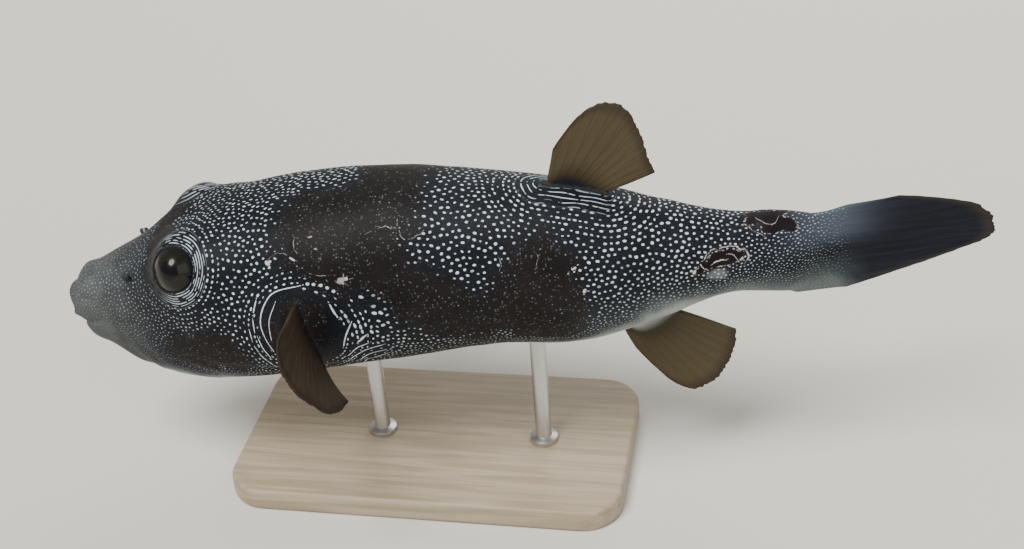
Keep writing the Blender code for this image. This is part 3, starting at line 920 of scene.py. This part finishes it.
# dots and dashes: each has a centre, a direction, half sizes and a tone
print("dots")
dots = {
    "candidates": 150000,
    "rounds": 14,
    # place, spacing and half width in millimetres, how long a dash is, tone
    "table": np.array([
        (-0.05, 1.8, 0.30, 1.0, 0.24), (0.08, 2.0, 0.36, 1.0, 0.30), (0.14, 2.2, 0.42, 1.05, 0.50),
        (0.20, 2.5, 0.50, 1.1, 0.95), (0.27, 2.8, 0.60, 1.15, 1.0), (0.38, 2.95, 0.64, 1.3, 1.0),
        (0.50, 3.1, 0.66, 1.3, 1.0), (0.60, 2.9, 0.60, 1.25, 1.0), (0.70, 2.75, 0.60, 1.2, 1.0),
        (0.80, 2.9, 0.66, 1.2, 1.0), (0.88, 2.5, 0.54, 1.3, 0.95), (0.94, 2.0, 0.38, 1.6, 0.85),
        (0.98, 1.7, 0.30, 2.0, 0.65), (1.03, 1.6, 0.26, 2.6, 0.30), (1.30, 1.6, 0.26, 2.6, 0.10),
    ]),
    "lowShrink": 0.42,
    "darkShrink": 0.50,
    "rowPull": 0.30,  # how hard dots near an eye, the patch or the back's fin are drawn into rows
    "rowPitch": 0.0024,
}

# how near and how far a dot is led by an eye, by the patch and by the back's fin
flowReach = ((0.019, 0.032), (0.028, 0.040), (0.018, 0.034))
relaxing = {
    "crowding": 0.86,  # the least gap between candidates, in spacings
    "neighbours": 7,
    "push": 0.22,
    "planEvery": 5,
}


def dotPlan(points):
    # spacing, half width, dash length, tone and darkness at these points
    place, up = placeUp(points)
    spacing, size, dash, tone = between(dots["table"], np.clip(place, -0.05, 1.30))
    low = smoothStep(0.105, 0.012, overBelly(points))
    shrink = 1.0 - dots["lowShrink"] * low * smoothStep(1.0, 0.9, place)
    warp = edgeWarp(points)
    dark, pale = darkness(points, warp), paleness(points, warp)
    big = blob(place, up, *pectoralDots)
    size = size * shrink * (1.0 - dots["darkShrink"] * dark) * (1.0 + 0.25 * big)
    tone = tone * (1.0 - 0.82 * dark) * (1.0 - 0.94 * pale) * (1.0 - 0.30 * low)
    return spacing * shrink * millimetre, size * millimetre, dash, tone, dark


def flow(points, normals):
    # round the eyes, the fins' patches and the back fin: the way out, the distance and its weight
    folded, turn = foldSides(points), np.ones((len(points), 3))
    turn[:, 1] = np.sign(points[:, 1] + 1e-12)
    outward = normals * turn
    offset = folded - eye["center"]
    eyeOut = offset - (offset @ eye["look"])[:, None] * eye["look"]
    patch = surfacePoint(*patchMiddle, 1.0)[0]
    ways = np.stack([eyeOut, folded - patch, fromSegment(folded, *dorsalEnds)])
    away = np.linalg.norm(ways, axis=2)
    weights = np.array([smoothStep(far, close, gap) for (close, far), gap in zip(flowReach, away)])
    weights[0] *= 0.8 * (points[:, 0] < 0.32 * bodyLength)
    weights[1] *= abs(normals[:, 2]) < 0.9
    best = np.argmax(weights, 0)
    rank = np.arange(len(points))
    out = ways[best, rank] - (ways[best, rank] * outward).sum(1)[:, None] * outward
    out /= np.linalg.norm(out, axis=1)[:, None] + 1e-9
    return out * turn, away[best, rank], weights[best, rank]


def scatter(count):
    # random points over the body and the tail fin's root, laid on the skin and off the fins
    body = sectionPoint(dice.random(count), dice.uniform(-pi, pi, count))
    root = np.stack([
        dice.uniform(0.93, 1.04, count // 8) * bodyLength, dice.choice((-0.006, 0.006), count // 8),
        dice.uniform(-0.030, 0.026, count // 8),
    ], 1)
    at, _, face = touchSkin(np.concatenate([body, root]))
    return at[finPart[triangles[face]].max(axis=1) < 0.6]


def isFree(points):
    # clear of the rings, the fins' lines, the fin's dark patch, the strokes and the wounds
    place, up = placeUp(points)
    away, _ = fromEyeAxis(points)
    dorsalAway, analAway, _ = baseDistances(points)
    free = (away > rows["eyeEnd"] + 0.0004) | (points[:, 2] < -0.004) | (place > 0.32)
    free &= ((dorsalAway > rows["dorsalEnd"]) | (place > 0.738)) & (analAway > rows["analEnd"])
    free &= dorsalAway > 0.0030
    free &= blob(place, up, (0.350, -0.026), (0.055, 0.058)) < 0.25
    free &= rawness(points, 0.0 * place) < 0.3
    stroke, gap = nearest(strokeTree, points)
    return free & (gap > strokes[stroke, 10] + 0.0007)


# keep one candidate for each spacing, then let neighbours push each other apart
candidates = scatter(dots["candidates"])
candidates = candidates[isFree(candidates)]
spacing = dotPlan(candidates)[0]
candidateTree = treeOf(candidates)
taken = np.zeros(len(candidates), bool)
kept = []
for index in range(len(candidates)):
    if taken[index]:
        continue
    kept.append(index)
    near = candidateTree.find_range(Vector(candidates[index]), spacing[index] * relaxing["crowding"])
    taken[[found[1] for found in near]] = True
spots = candidates[kept]
print("dots:", len(spots))

for turn in range(dots["rounds"]):
    if turn % relaxing["planEvery"] == 0:
        spacing = dotPlan(spots)[0]
        normals = touchSkin(spots)[1]
    spotTree = treeOf(spots)
    out, away, weight = flow(spots, normals)
    offRow = away - np.round(away / dots["rowPitch"]) * dots["rowPitch"]
    moved = spots - out * (offRow * weight * dots["rowPull"])[:, None]
    for index, point in enumerate(spots):
        for other, _, gap in spotTree.find_n(Vector(point), relaxing["neighbours"]):
            if 0.0 < gap < spacing[index]:
                push = (point - np.array(other)) / gap * (spacing[index] - gap)
                moved[index] += push * relaxing["push"]
    spots = touchSkin(moved)[0]

# the dark patches keep a few dim specks only
spots = spots[isFree(spots)]
spots = spots[dice.random(len(spots)) > 0.90 * dotPlan(spots)[4]]
normals = touchSkin(spots)[1]
spacing, size, dash, tone, dark = dotPlan(spots)
size *= dice.uniform(0.68, 1.22, len(spots))
tone *= 0.40 + 0.60 * np.sqrt(dice.random(len(spots)))
topness = smoothStep(0.9, 0.3, np.arctan2(abs(spots[:, 1]), spots[:, 2]))
place = spots[:, 0] / bodyLength
dash = dash + 0.8 * topness * hump(place, 0.36, 0.16) + dice.uniform(-0.1, 0.25, len(spots))
out, _, weight = flow(spots, normals)
dash = dash + 0.6 * weight
stray = 0.35 * (1.0 - 0.8 * smoothStep(0.85, 0.97, place))
sideways = stray[:, None] * dice.normal(size=(len(spots), 2))
way = np.column_stack([np.ones(len(spots)), sideways])
around = np.cross(normals, out)
around *= np.sign((around * way).sum(1))[:, None]
way = way * (1.0 - weight)[:, None] + around * 1.6 * weight[:, None]
marks = np.column_stack([
    spots, way, normals, size * np.sqrt(dash), size / np.sqrt(dash), tone, np.zeros(len(spots)),
])
marks = np.concatenate([marks, strokes])

markPoint, markWay, markFacing = marks[:, 0:3], marks[:, 3:6], marks[:, 6:9]
markWay = markWay - (markWay * markFacing).sum(1)[:, None] * markFacing
markWay /= np.linalg.norm(markWay, axis=1)[:, None]
markAside = np.cross(markFacing, markWay)
markLong, markWide, markTone, markEnd = marks[:, 9:].T
isScar = markEnd > 5.0
markEnd = np.where(isScar, markEnd - 10.0, markEnd)


def markCoordinates(points, chosen):
    # along and across a mark, so that its edge is where their length is 1, and the way off the skin
    offset = points - markPoint[chosen]
    along = (offset * markWay[chosen]).sum(-1)
    aside = (offset * markAside[chosen]).sum(-1) / markWide[chosen]
    end = markEnd[chosen]
    # a line's marks reach no further than the faces beside them, and its end is cut round
    inner = np.maximum(abs(along) - 0.0013, 0.0) / 0.0004
    past = np.where(end == 2.0, 0.0, np.maximum(along * np.sign(end), 0.0)) / markWide[chosen]
    u = np.where(end == 0.0, along / markLong[chosen], np.maximum(inner, past))
    lift = (offset * markFacing[chosen]).sum(-1) / 0.004
    return u, aside, lift


# each face shows the mark that its middle is deepest in, of the six nearest
markTree = treeOf(markPoint)
corners = straight[triangles]
faceMiddle = corners.mean(1)
near = np.array([[found[1] for found in markTree.find_n(Vector(point), 6)] for point in faceMiddle])
u, v, lift = markCoordinates(faceMiddle[:, None, :], near)
best = near[np.arange(len(near)), np.argmin(u * u + v * v + lift * lift, axis=1)]
best = best[:, None].repeat(3, 1)
u, v, _ = markCoordinates(corners, best)
u = np.where(finPart[triangles] > 0.75, 9.0, u)
keepVectors(skin, "mark", (u, v, np.where(isScar, 2.0 + markTone, markTone)[best]), "CORNER")
print("marks:", len(marks))

# the skin is raised along the scars
scarAway = nearest(treeOf(scarLines[:, :3]), straight)[1]
raised = strokeLook["scarHeight"] * hump(scarAway, 0.0, strokeLook["scarWidth"])
straight += getNormals(skin) * raised[:, None]
setPoints(skin, bend(straight))
pick(skin)
bpy.ops.object.shade_smooth()
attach(skin, "root")
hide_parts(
    "head", "trunk", "tail_stem", "nostril_flap_left", "nostril_flap_right",
    "dorsal_fin", "anal_fin", "tail_fin", "pectoral_fin_left", "pectoral_fin_right",
)

# finishes: nodes are added to the tree of the material or group begun last
print("finishes")
begun = {}


def newFinish(name):
    made = bpy.data.materials.new(name)
    made.use_nodes = True
    begun["tree"] = made.node_tree
    return made


def fill(node, values):
    # numbers or links for a node's inputs
    for name, value in values.items():
        if isinstance(value, bpy.types.NodeSocket):
            begun["tree"].links.new(value, node.inputs[name])
        else:
            node.inputs[name].default_value = value


def setShader(values):
    fill(begun["tree"].nodes["Principled BSDF"], values)


def put(kind, values, **settings):
    made = begun["tree"].nodes.new(kind)
    for name, value in settings.items():
        setattr(made, name, value)
    fill(made, values)
    return made.outputs


def calc(operation, *values):
    return put("ShaderNodeMath", dict(enumerate(values)), operation=operation)[0]


def times(*values):
    found = values[0]
    for value in values[1:]:
        found = calc("MULTIPLY", found, value)
    return found


def plus(*values):
    found = values[0]
    for value in values[1:]:
        found = calc("ADD", found, value)
    return found


def minus(first, second):
    return calc("SUBTRACT", first, second)


def scaled(value, factor, shift):
    return calc("MULTIPLY_ADD", value, factor, shift)


def step(value, low, high, toLow=0.0, toHigh=1.0):
    return put("ShaderNodeMapRange", {
        "Value": value, "From Min": low, "From Max": high, "To Min": toLow, "To Max": toHigh,
    }, interpolation_type="SMOOTHSTEP")[0]


def blend(factor, first, second):
    pair = [value if isinstance(value, bpy.types.NodeSocket) else (*value, 1.0) for value in (first, second)]
    return put("ShaderNodeMix", {0: factor, 6: pair[0], 7: pair[1]}, data_type="RGBA")[2]


def attribute(name):
    # an attribute kept at the points or corners
    return put("ShaderNodeAttribute", {}, attribute_name=name)["Vector"]


def split(vector):
    return put("ShaderNodeSeparateXYZ", {0: vector})


def vectorOf(*values):
    return put("ShaderNodeCombineXYZ", dict(enumerate(values)))[0]


def grain(where, scale, detail, roughness=0.5, distortion=0.0):
    return put("ShaderNodeTexNoise", {
        "Vector": where, "Scale": scale, "Detail": detail, "Roughness": roughness, "Distortion": distortion,
    })["Fac"]


def cells(scale, randomness=1.0):
    where = attribute("layout")
    return put("ShaderNodeTexVoronoi", {"Vector": where, "Scale": scale, "Randomness": randomness})


def bumped(height, strength, distance):
    return put("ShaderNodeBump", {"Strength": strength, "Distance": distance, "Height": height})["Normal"]


def buildMottle():
    # soft blotches and fine grain, for the tone, the roughness and the height of any finish
    group = bpy.data.node_groups.new("softMottle", "ShaderNodeTree")
    begun["tree"] = group
    for label, scale in (("Blotch", 60.0), ("Grain", 900.0)):
        group.interface.new_socket(label, in_out="INPUT", socket_type="NodeSocketFloat").default_value = scale
    for label in ("Blotches", "Fine"):
        group.interface.new_socket(label, in_out="OUTPUT", socket_type="NodeSocketFloat")
    given = put("NodeGroupInput", {})
    where = put("ShaderNodeTexCoord", {})["Object"]
    fill(group.nodes.new("NodeGroupOutput"), {
        "Blotches": grain(where, given["Blotch"], 4.0, 0.6),
        "Fine": grain(where, given["Grain"], 2.0, 0.6),
    })
    return group


mottle = buildMottle()


def mottled(blotch, fine):
    made = put("ShaderNodeGroup", {"Blotch": blotch, "Grain": fine}, node_tree=mottle)
    return made["Blotches"], made["Fine"]


skinLook = {
    "back": (0.0050, 0.0060, 0.0092),
    "darkPatch": (0.0062, 0.0043, 0.0046),
    "olive": (0.0090, 0.0078, 0.0042),
    "flank": (0.050, 0.064, 0.066),
    "belly": (0.330, 0.350, 0.335),
    "spot": (0.720, 0.820, 0.880),
    "line": (0.540, 0.620, 0.660),
    "scar": (0.700, 0.610, 0.600),
    "raw": (0.0040, 0.0022, 0.0028),
    "mended": (0.150, 0.170, 0.178),
    "snout": (0.076, 0.082, 0.082),
    "fin": (0.072, 0.056, 0.030),
    "finRay": (0.038, 0.028, 0.016),
    "finRim": (0.016, 0.010, 0.008),
    "pectoral": (0.036, 0.026, 0.018),
    "tail": (0.0050, 0.0054, 0.0092),
    # painted highlight: bluish light along the tail fin's rays
    "tailRayHighlight": (0.013, 0.017, 0.032),
    # painted sheen over the top of the tail's root
    "tailSheen": (0.082, 0.100, 0.132),
    "tailRim": (0.040, 0.031, 0.020),
    "roughness": 0.56,
}


def shades(name, factor):
    return [value * factor for value in skinLook[name]]


def toned(factor, name, low, high):
    # a colour that goes from one shade of itself to another
    return blend(factor, shades(name, low), shades(name, high))


def buildLines(layout, phase, thin):
    # a thin pale line at every half number, broken up by noise of its own
    row = calc("FLOOR", phase)
    inRow = calc("ABSOLUTE", minus(calc("FRACT", phase), 0.5))
    jump = vectorOf(times(row, 0.37), times(row, 0.11))
    apart = put("ShaderNodeVectorMath", {0: layout, 1: jump}, operation="ADD")[0]
    gaps = grain(apart, 250.0, 1.0)
    width = times(thin, scaled(gaps, 1.6, 0.3))
    return times(step(inRow, times(width, 1.35), times(width, 0.65)), step(gaps, 0.40, 0.47))


def bodyColor(layout, blotches, wander):
    # the base, then rings and rows, then spots, scars and wounds
    u, v, tone = split(attribute("mark"))
    phase, rowStrength, thin = split(attribute("rows"))
    pale, dark, _ = split(attribute("tones"))
    raw, mended, paintedSheen = split(attribute("woundsAndSheen"))
    place = split(layout)[0]
    off = calc("SQRT", plus(times(u, u), times(v, v)))
    spot = step(plus(off, scaled(wander, 0.6, -0.30)), 1.20, 0.74)
    onScar = calc("GREATER_THAN", tone, 1.5)
    scarred = times(onScar, spot, minus(tone, 2.0))
    dotTone = times(spot, tone, minus(1.0, onScar))
    line = times(buildLines(layout, phase, thin), rowStrength)

    patchy = step(blotches, 0.30, 0.70)
    tonedDark = toned(patchy, "darkPatch", 1.0, 2.2)
    tonedDark = blend(step(wander, 0.45, 0.75), tonedDark, skinLook["olive"])
    base = blend(dark, toned(patchy, "back", 1.0, 1.7), tonedDark)
    # faint specks, mostly in the dark patches
    speck = cells(820.0)
    chance = put("ShaderNodeSeparateColor", {0: speck["Color"]})[0]
    specks = times(step(speck["Distance"], 0.44, 0.20), step(chance, 0.5, 1.0), scaled(dark, 0.09, 0.02))
    # a wound's torn edge is pale in places
    edge = times(step(raw, 0.10, 0.40), step(raw, 0.80, 0.50), step(wander, 0.48, 0.62), 0.50)
    for factor, color in (
        (specks, skinLook["spot"]),
        (step(place, 0.055, 0.012), toned(patchy, "snout", 0.72, 1.18)),
        (step(pale, 0.0, 0.55), skinLook["flank"]),
        (step(pale, 0.40, 1.0), toned(patchy, "belly", 0.82, 1.12)),
        # painted sheen over the tail's root
        (times(paintedSheen, 0.75), skinLook["tailSheen"]),
        (times(mended, 0.8), skinLook["mended"]),
        (line, skinLook["line"]),
        (dotTone, skinLook["spot"]),
        (raw, toned(patchy, "raw", 1.0, 2.2)),
        (edge, skinLook["scar"]),
        (scarred, skinLook["scar"]),
    ):
        base = blend(factor, base, color)
    return base, dotTone, scarred


def finColor(layout):
    # a membrane with forking rays; the tail's is darker, with a painted bluish highlight along its rays and a
    # painted sheen over its upper root
    across, reach, kind = split(attribute("ray"))
    paintedSheen = split(attribute("woundsAndSheen"))[2]
    place = split(layout)[0]
    tailFin = calc("COMPARE", kind, finSheets["tail"]["kind"], 0.4)
    sideFin = calc("COMPARE", kind, finSheets["pectoral"]["kind"], 0.4)
    rayCount = minus(scaled(sideFin, 7.0, 10.0), tailFin)
    inRay = minus(times(across, rayCount), 0.5)
    inRay = calc("ABSOLUTE", minus(inRay, calc("ROUND", inRay)))
    fork = times(step(reach, 0.30, 1.0), rayFork)
    ray = step(calc("ABSOLUTE", minus(inRay, fork)), rayWidth, 0.02)
    streak = grain(vectorOf(times(across, 26.0), times(reach, 3.0), kind), 1.0, 5.0)
    streaky = step(streak, 0.30, 0.70)
    membrane = blend(sideFin, skinLook["fin"], skinLook["pectoral"])
    membrane = blend(times(streaky, 0.25), membrane, shades("fin", 1.3))
    membrane = blend(times(ray, 0.22), membrane, skinLook["finRay"])
    membrane = blend(step(reach, 0.50, 0.12, 0.0, 0.9), membrane, skinLook["finRim"])
    tailSkin = toned(streaky, "tail", 1.0, 1.9)
    # painted highlight along the tail fin's rays
    tailSkin = blend(times(ray, 0.20), tailSkin, skinLook["tailRayHighlight"])
    # painted sheen over the tail fin's upper root
    tailSkin = blend(times(paintedSheen, 0.85), tailSkin, skinLook["tailSheen"])
    rim = times(step(reach, 0.90, 1.0), step(place, 0.392, 0.410), 0.65)
    tailSkin = blend(rim, tailSkin, skinLook["tailRim"])
    rim = times(step(reach, 0.86, 1.0), minus(1.0, tailFin), 0.55)
    return blend(rim, blend(tailFin, membrane, tailSkin), skinLook["finRim"]), ray, streak


def skinFinish():
    made = newFinish("puffer_skin")
    layout = attribute("layout")
    finArea = split(attribute("tones"))[2]
    blotches, fine = mottled(70.0, 1500.0)
    base, dotTone, scarred = bodyColor(layout, blotches, grain(layout, 900.0, 1.0))
    fins, ray, streak = finColor(layout)
    # fine prickles lying under the skin, folds on the fins, and the spots hardly raised
    prickles = step(cells(620.0, 0.9)["Distance"], 0.42, 0.05)
    finHeight = scaled(ray, 0.5, times(streak, 0.8))
    bodyHeight = times(prickles, 0.35, minus(1.0, finArea))
    height = plus(bodyHeight, times(fine, 0.30), times(dotTone, 0.10), times(finHeight, finArea, 0.5))
    setShader({
        "Base Color": blend(finArea, base, fins),
        "Roughness": plus(scaled(fine, 0.16, skinLook["roughness"] - 0.08), times(scarred, -0.08)),
        "Normal": bumped(height, 0.55, 0.00035),
        "Specular IOR Level": 0.14,
    })
    return made


def finish(piece, look):
    piece.data.materials.clear()
    piece.data.materials.append(look)


finish(skin, skinFinish())

# the eyes: a ball with a raised cornea, iris and pupil
print("eyes")
eyeLook = {
    "white": (0.0060, 0.0065, 0.0055),
    "iris": (0.0060, 0.0062, 0.0030),
    "irisLight": (0.015, 0.0145, 0.0065),
    "ring": (0.028, 0.023, 0.009),
    "pupil": (0.0030, 0.0030, 0.0034),
    "irisAngle": radians(44.0),
    "pupilAngle": radians(21.0),
    "bulge": 0.0007,
}


def eyeFinish():
    made = newFinish("wet_eye")
    off, turnX, turnY = split(attribute("gaze"))
    threads = step(grain(vectorOf(turnX, turnY), 9.0, 4.0, 0.7), 0.38, 0.68)
    blotches, fine = mottled(260.0, 1800.0)
    pupil, iris = eyeLook["pupilAngle"], eyeLook["irisAngle"]
    color = blend(threads, eyeLook["iris"], eyeLook["irisLight"])
    color = blend(step(blotches, 0.45, 0.62), color, eyeLook["iris"])
    color = blend(times(step(off, pupil + 0.075, pupil + 0.025), 0.55), color, eyeLook["ring"])
    color = blend(step(off, iris - 0.03, iris + 0.05), color, eyeLook["white"])
    color = blend(step(off, pupil + 0.03, pupil), color, eyeLook["pupil"])
    setShader({
        "Base Color": color,
        "Roughness": scaled(fine, 0.06, 0.24),
        "Specular IOR Level": 0.12,
        "Coat Weight": 0.30,
        "Coat Roughness": 0.03,
    })
    return made


wetEye = eyeFinish()
for label, side in (("left", -1.0), ("right", 1.0)):
    deselectAll()
    bpy.ops.mesh.primitive_uv_sphere_add(segments=64, ring_count=48, radius=eye["ballRadius"])
    ball = startPiece("eyeball_" + label)
    points = getPoints(ball)
    angle = np.arccos(np.clip(points[:, 2] / eye["ballRadius"], -1.0, 1.0))
    bulge = eyeLook["bulge"] * smoothStep(eyeLook["irisAngle"] * 1.15, 0.0, angle)
    shrink = (eye["ballRadius"] - 0.00015 + bulge) / eye["ballRadius"]
    flat = np.maximum(np.linalg.norm(points[:, :2], axis=1), 1e-9)
    keepVectors(ball, "gaze", (angle, points[:, 0] / flat, points[:, 1] / flat))
    look = Vector(eye["look"]) * Vector((1.0, side, 1.0))
    turn = np.array(Vector((0.0, 0.0, 1.0)).rotation_difference(look).to_matrix())
    seat = eye["center"] * (1.0, side, 1.0)
    setPoints(ball, bend((points * shrink[:, None]) @ turn.T + seat))
    pick(ball)
    bpy.ops.object.shade_smooth()
    finish(ball, wetEye)
    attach(ball, "root")
    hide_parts("eye_" + label)

# the beak: two fused plates above and two below, with a seam down the middle
print("beak")
beak = {
    "size": (0.0090, 0.0088, 0.0021),
    "forward": -0.0006,
    "gap": 0.0003,
    "seamDepth": 0.00035,
    "color": (0.560, 0.510, 0.380),
    "stain": (0.300, 0.240, 0.140),
}


def beakFinish():
    made = newFinish("tooth_plate")
    blotches, fine = mottled(380.0, 2600.0)
    setShader({
        "Base Color": blend(step(blotches, 0.40, 0.70), beak["color"], beak["stain"]),
        "Roughness": scaled(fine, 0.20, 0.18),
        "Normal": bumped(fine, 0.3, 0.0002),
    })
    return made


toothPlate = beakFinish()
for label, upward in (("upper", 1.0), ("lower", -1.0)):
    deselectAll()
    bpy.ops.mesh.primitive_uv_sphere_add(segments=72, ring_count=40, radius=1.0)
    plate = startPiece("beak_plate_" + label)
    edit(plate)
    rim = upward * beak["gap"] / beak["size"][2]
    bpy.ops.mesh.bisect(plane_co=(0, 0, rim), plane_no=(0, 0, -upward), clear_outer=True, use_fill=True)
    leaveEdit()
    points = getPoints(plate)
    seam = hump(points[:, 1], 0.0, 0.045) + 0.6 * hump(abs(points[:, 1]), 0.52, 0.05)
    points *= (1.0 - seam * beak["seamDepth"] / beak["size"][0] * (points[:, 0] < 0.3))[:, None]
    bite = (abs(points[:, 2] - rim) < 0.01) * (points[:, 0] < 0.0)
    points[:, 2] += bite * upward * 0.10 * abs(np.sin(points[:, 1] * 16.0))
    center = mouth["center"] - np.array((beak["forward"], 0.0, 0.0))
    setPoints(plate, bend(points * beak["size"] + center))
    outwardNormals(plate)
    bpy.ops.object.shade_smooth_by_angle(angle=radians(40.0))
    finish(plate, toothPlate)
    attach(plate, "root")
    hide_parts("beak_" + label)

print("stand")
stand = {
    "wood": (0.340, 0.265, 0.175),
    "woodLight": (0.480, 0.395, 0.285),
    "steel": (0.58, 0.58, 0.57),
    "steelDull": (0.40, 0.40, 0.395),
    "cornerRadius": 0.020,
    "edgeRadius": 0.0022,
    "rodRadius": 0.0040,
    "rodSink": 0.0006,  # how far a rod goes into the board, and then into the fish
    "rodReach": 0.0022,
    "collarRadius": 0.0072,
    "collarHeight": 0.0030,
    "collarSlope": 0.0008,
    "collarEdge": 0.0003,
}


def drawnOut(scale, detail, distortion=0.0):
    # noise with a scale of its own along each of the piece's directions
    where = put("ShaderNodeTexCoord", {})["Object"]
    where = put("ShaderNodeMapping", {"Vector": where, "Scale": scale})[0]
    return grain(where, 1.0, detail, distortion=distortion)


def woodFinish():
    made = newFinish("pale_ash")
    veins = drawnOut((14.0, 260.0, 260.0), 6.0, 0.6)
    blotches, _ = mottled(22.0, 700.0)
    color = blend(step(veins, 0.35, 0.68), stand["wood"], stand["woodLight"])
    setShader({
        "Base Color": blend(times(blotches, 0.5), color, stand["wood"]),
        "Roughness": scaled(veins, 0.20, 0.42),
        "Normal": bumped(veins, 0.25, 0.0003),
    })
    return made


def steelFinish():
    made = newFinish("brushed_steel")
    brush = drawnOut((300.0, 300.0, 5200.0), 2.0)
    blotches, _ = mottled(90.0, 1200.0)
    setShader({
        "Base Color": blend(times(blotches, 0.35), stand["steel"], stand["steelDull"]),
        "Roughness": scaled(brush, 0.22, 0.20),
        "Normal": bumped(brush, 0.15, 0.0001),
        "Metallic": 1.0,
    })
    return made


low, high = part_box("stand_base")
middle, size = (low + high) / 2.0, high - low
deselectAll()
bpy.ops.mesh.primitive_cube_add(size=1.0, location=middle, scale=size)
bpy.ops.object.transform_apply(location=True, rotation=False, scale=True)
board = startPiece("display_base")
points = getPoints(board)
edges = np.array([edge.vertices[:] for edge in board.data.edges])
upright = abs(points[edges[:, 0], 2] - points[edges[:, 1], 2]) > size.z / 2.0
edit(board, "DESELECT")
bpy.ops.mesh.select_mode(type="EDGE")
leaveEdit()
board.data.edges.foreach_set("select", upright)
bpy.ops.object.mode_set(mode="EDIT")
bpy.ops.mesh.bevel(offset=stand["cornerRadius"], segments=12, profile=0.5, affect="EDGES")
leaveEdit()
applyModifier(
    board, "BEVEL", width=stand["edgeRadius"], segments=4, limit_method="ANGLE", angle_limit=radians(50.0)
)
bpy.ops.object.shade_smooth_by_angle(angle=radians(40.0))
finish(board, woodFinish())
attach(board, "root")
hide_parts("stand_base")

steel = steelFinish()
skinTree = surfaceOf(skin)
for number in (1, 2):
    low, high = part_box(f"stand_rod_{number}")
    x, y = (low.x + high.x) / 2.0, (low.y + high.y) / 2.0
    touch = skinTree.ray_cast(Vector((x, y, low.z)), Vector((0.0, 0.0, 1.0)))[0]
    foot, top = low.z - stand["rodSink"], touch.z + stand["rodReach"]
    deselectAll()
    bpy.ops.mesh.primitive_cylinder_add(
        vertices=48, radius=stand["rodRadius"], depth=top - foot, location=(x, y, (foot + top) / 2.0)
    )
    bpy.ops.object.transform_apply(location=True, rotation=False, scale=False)
    rod = startPiece(f"rod_{number}")
    # a turned collar at the foot: two cuts, and the part below the lower one made wider
    collarTop = foot + stand["collarHeight"]
    for cut in (collarTop, collarTop + stand["collarSlope"]):
        edit(rod)
        bpy.ops.mesh.bisect(plane_co=(x, y, cut), plane_no=(0, 0, 1))
        leaveEdit()
    points = getPoints(rod)
    grow = np.where(points[:, 2] < collarTop + 0.0001, stand["collarRadius"] / stand["rodRadius"], 1.0)
    points[:, :2] = (x, y) + (points[:, :2] - (x, y)) * grow[:, None]
    setPoints(rod, points)
    applyModifier(
        rod, "BEVEL", width=stand["collarEdge"], segments=2, limit_method="ANGLE", angle_limit=radians(35.0)
    )
    bpy.ops.object.shade_smooth_by_angle(angle=radians(35.0))
    finish(rod, steel)
    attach(rod, "root")
    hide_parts(f"stand_rod_{number}")

# floor, light and camera
print("studio")
studio = {
    "floor": (0.72, 0.69, 0.62),
    "floorSize": 60.0,
    "sky": (0.90, 0.89, 0.85),
    "skyStrength": 0.46,
    "sun": {"from": (-0.45, -0.70, 1.55), "angle": radians(28.0), "strength": 3.6},
    "lamps": (  # name, place, size, watts, color
        ("fillLamp", (1.10, -1.10, 0.90), 1.4, 8.0, (0.93, 0.97, 1.0)),
        ("backLamp", (0.20, 1.30, 1.10), 1.2, 10.0, (1.0, 1.0, 1.0)),
    ),
}

deselectAll()
bpy.ops.mesh.primitive_plane_add(size=studio["floorSize"])
floor = startPiece("floor")
floorLook = newFinish("floor_paper")
# a slightly darker floor tone, spread in random blotches
floorDarker = [part * 0.97 for part in studio["floor"]]
setShader({"Base Color": blend(mottled(3.0, 400.0)[0], floorDarker, studio["floor"]), "Roughness": 0.9})
finish(floor, floorLook)

world = bpy.data.worlds.new("studio")
bpy.context.scene.world = world
world.use_nodes = True
world.node_tree.nodes["Background"].inputs["Color"].default_value = (*studio["sky"], 1.0)
world.node_tree.nodes["Background"].inputs["Strength"].default_value = studio["skyStrength"]


def addLamp(name, kind, spot, aim, **settings):
    bpy.ops.object.light_add(type=kind, location=spot)
    lamp = bpy.context.object
    lamp.name = name
    lamp.rotation_euler = (Vector(aim) - Vector(spot)).to_track_quat("-Z", "Y").to_euler()
    for setting, value in settings.items():
        setattr(lamp.data, setting, value)


sun = studio["sun"]
addLamp("keyLight", "SUN", sun["from"], (0.0, 0.0, 0.0), angle=sun["angle"], energy=sun["strength"])
for name, spot, size, watts, color in studio["lamps"]:
    addLamp(name, "AREA", spot, (0.0, 0.0, 0.11), size=size, energy=watts, color=color)

camera = {
    "azimuth": radians(12.7),
    "elevation": radians(32.5),
    "roll": radians(4.5),
    "distance": 0.763,
    "lens": 56.0,
    "aim": (-0.0004, 0.0, 0.1116),
}
azimuth, elevation, roll = camera["azimuth"], camera["elevation"], camera["roll"]
back = Vector((sin(azimuth) * cos(elevation), -cos(azimuth) * cos(elevation), sin(elevation)))
right = Vector((cos(azimuth), sin(azimuth), 0.0))
rise = back.cross(right)
rolledRight = right * cos(roll) - rise * sin(roll)
rolledUp = right * sin(roll) + rise * cos(roll)
bpy.ops.object.camera_add(location=Vector(camera["aim"]) + back * camera["distance"])
eyepiece = bpy.context.object
eyepiece.rotation_euler = Matrix((rolledRight, rolledUp, back)).transposed().to_euler()
eyepiece.data.lens = camera["lens"]
eyepiece.data.sensor_width = 36.0
eyepiece.data.clip_start = 0.01
bpy.context.scene.camera = eyepiece
deselectAll()

bpy.context.view_layer.update()
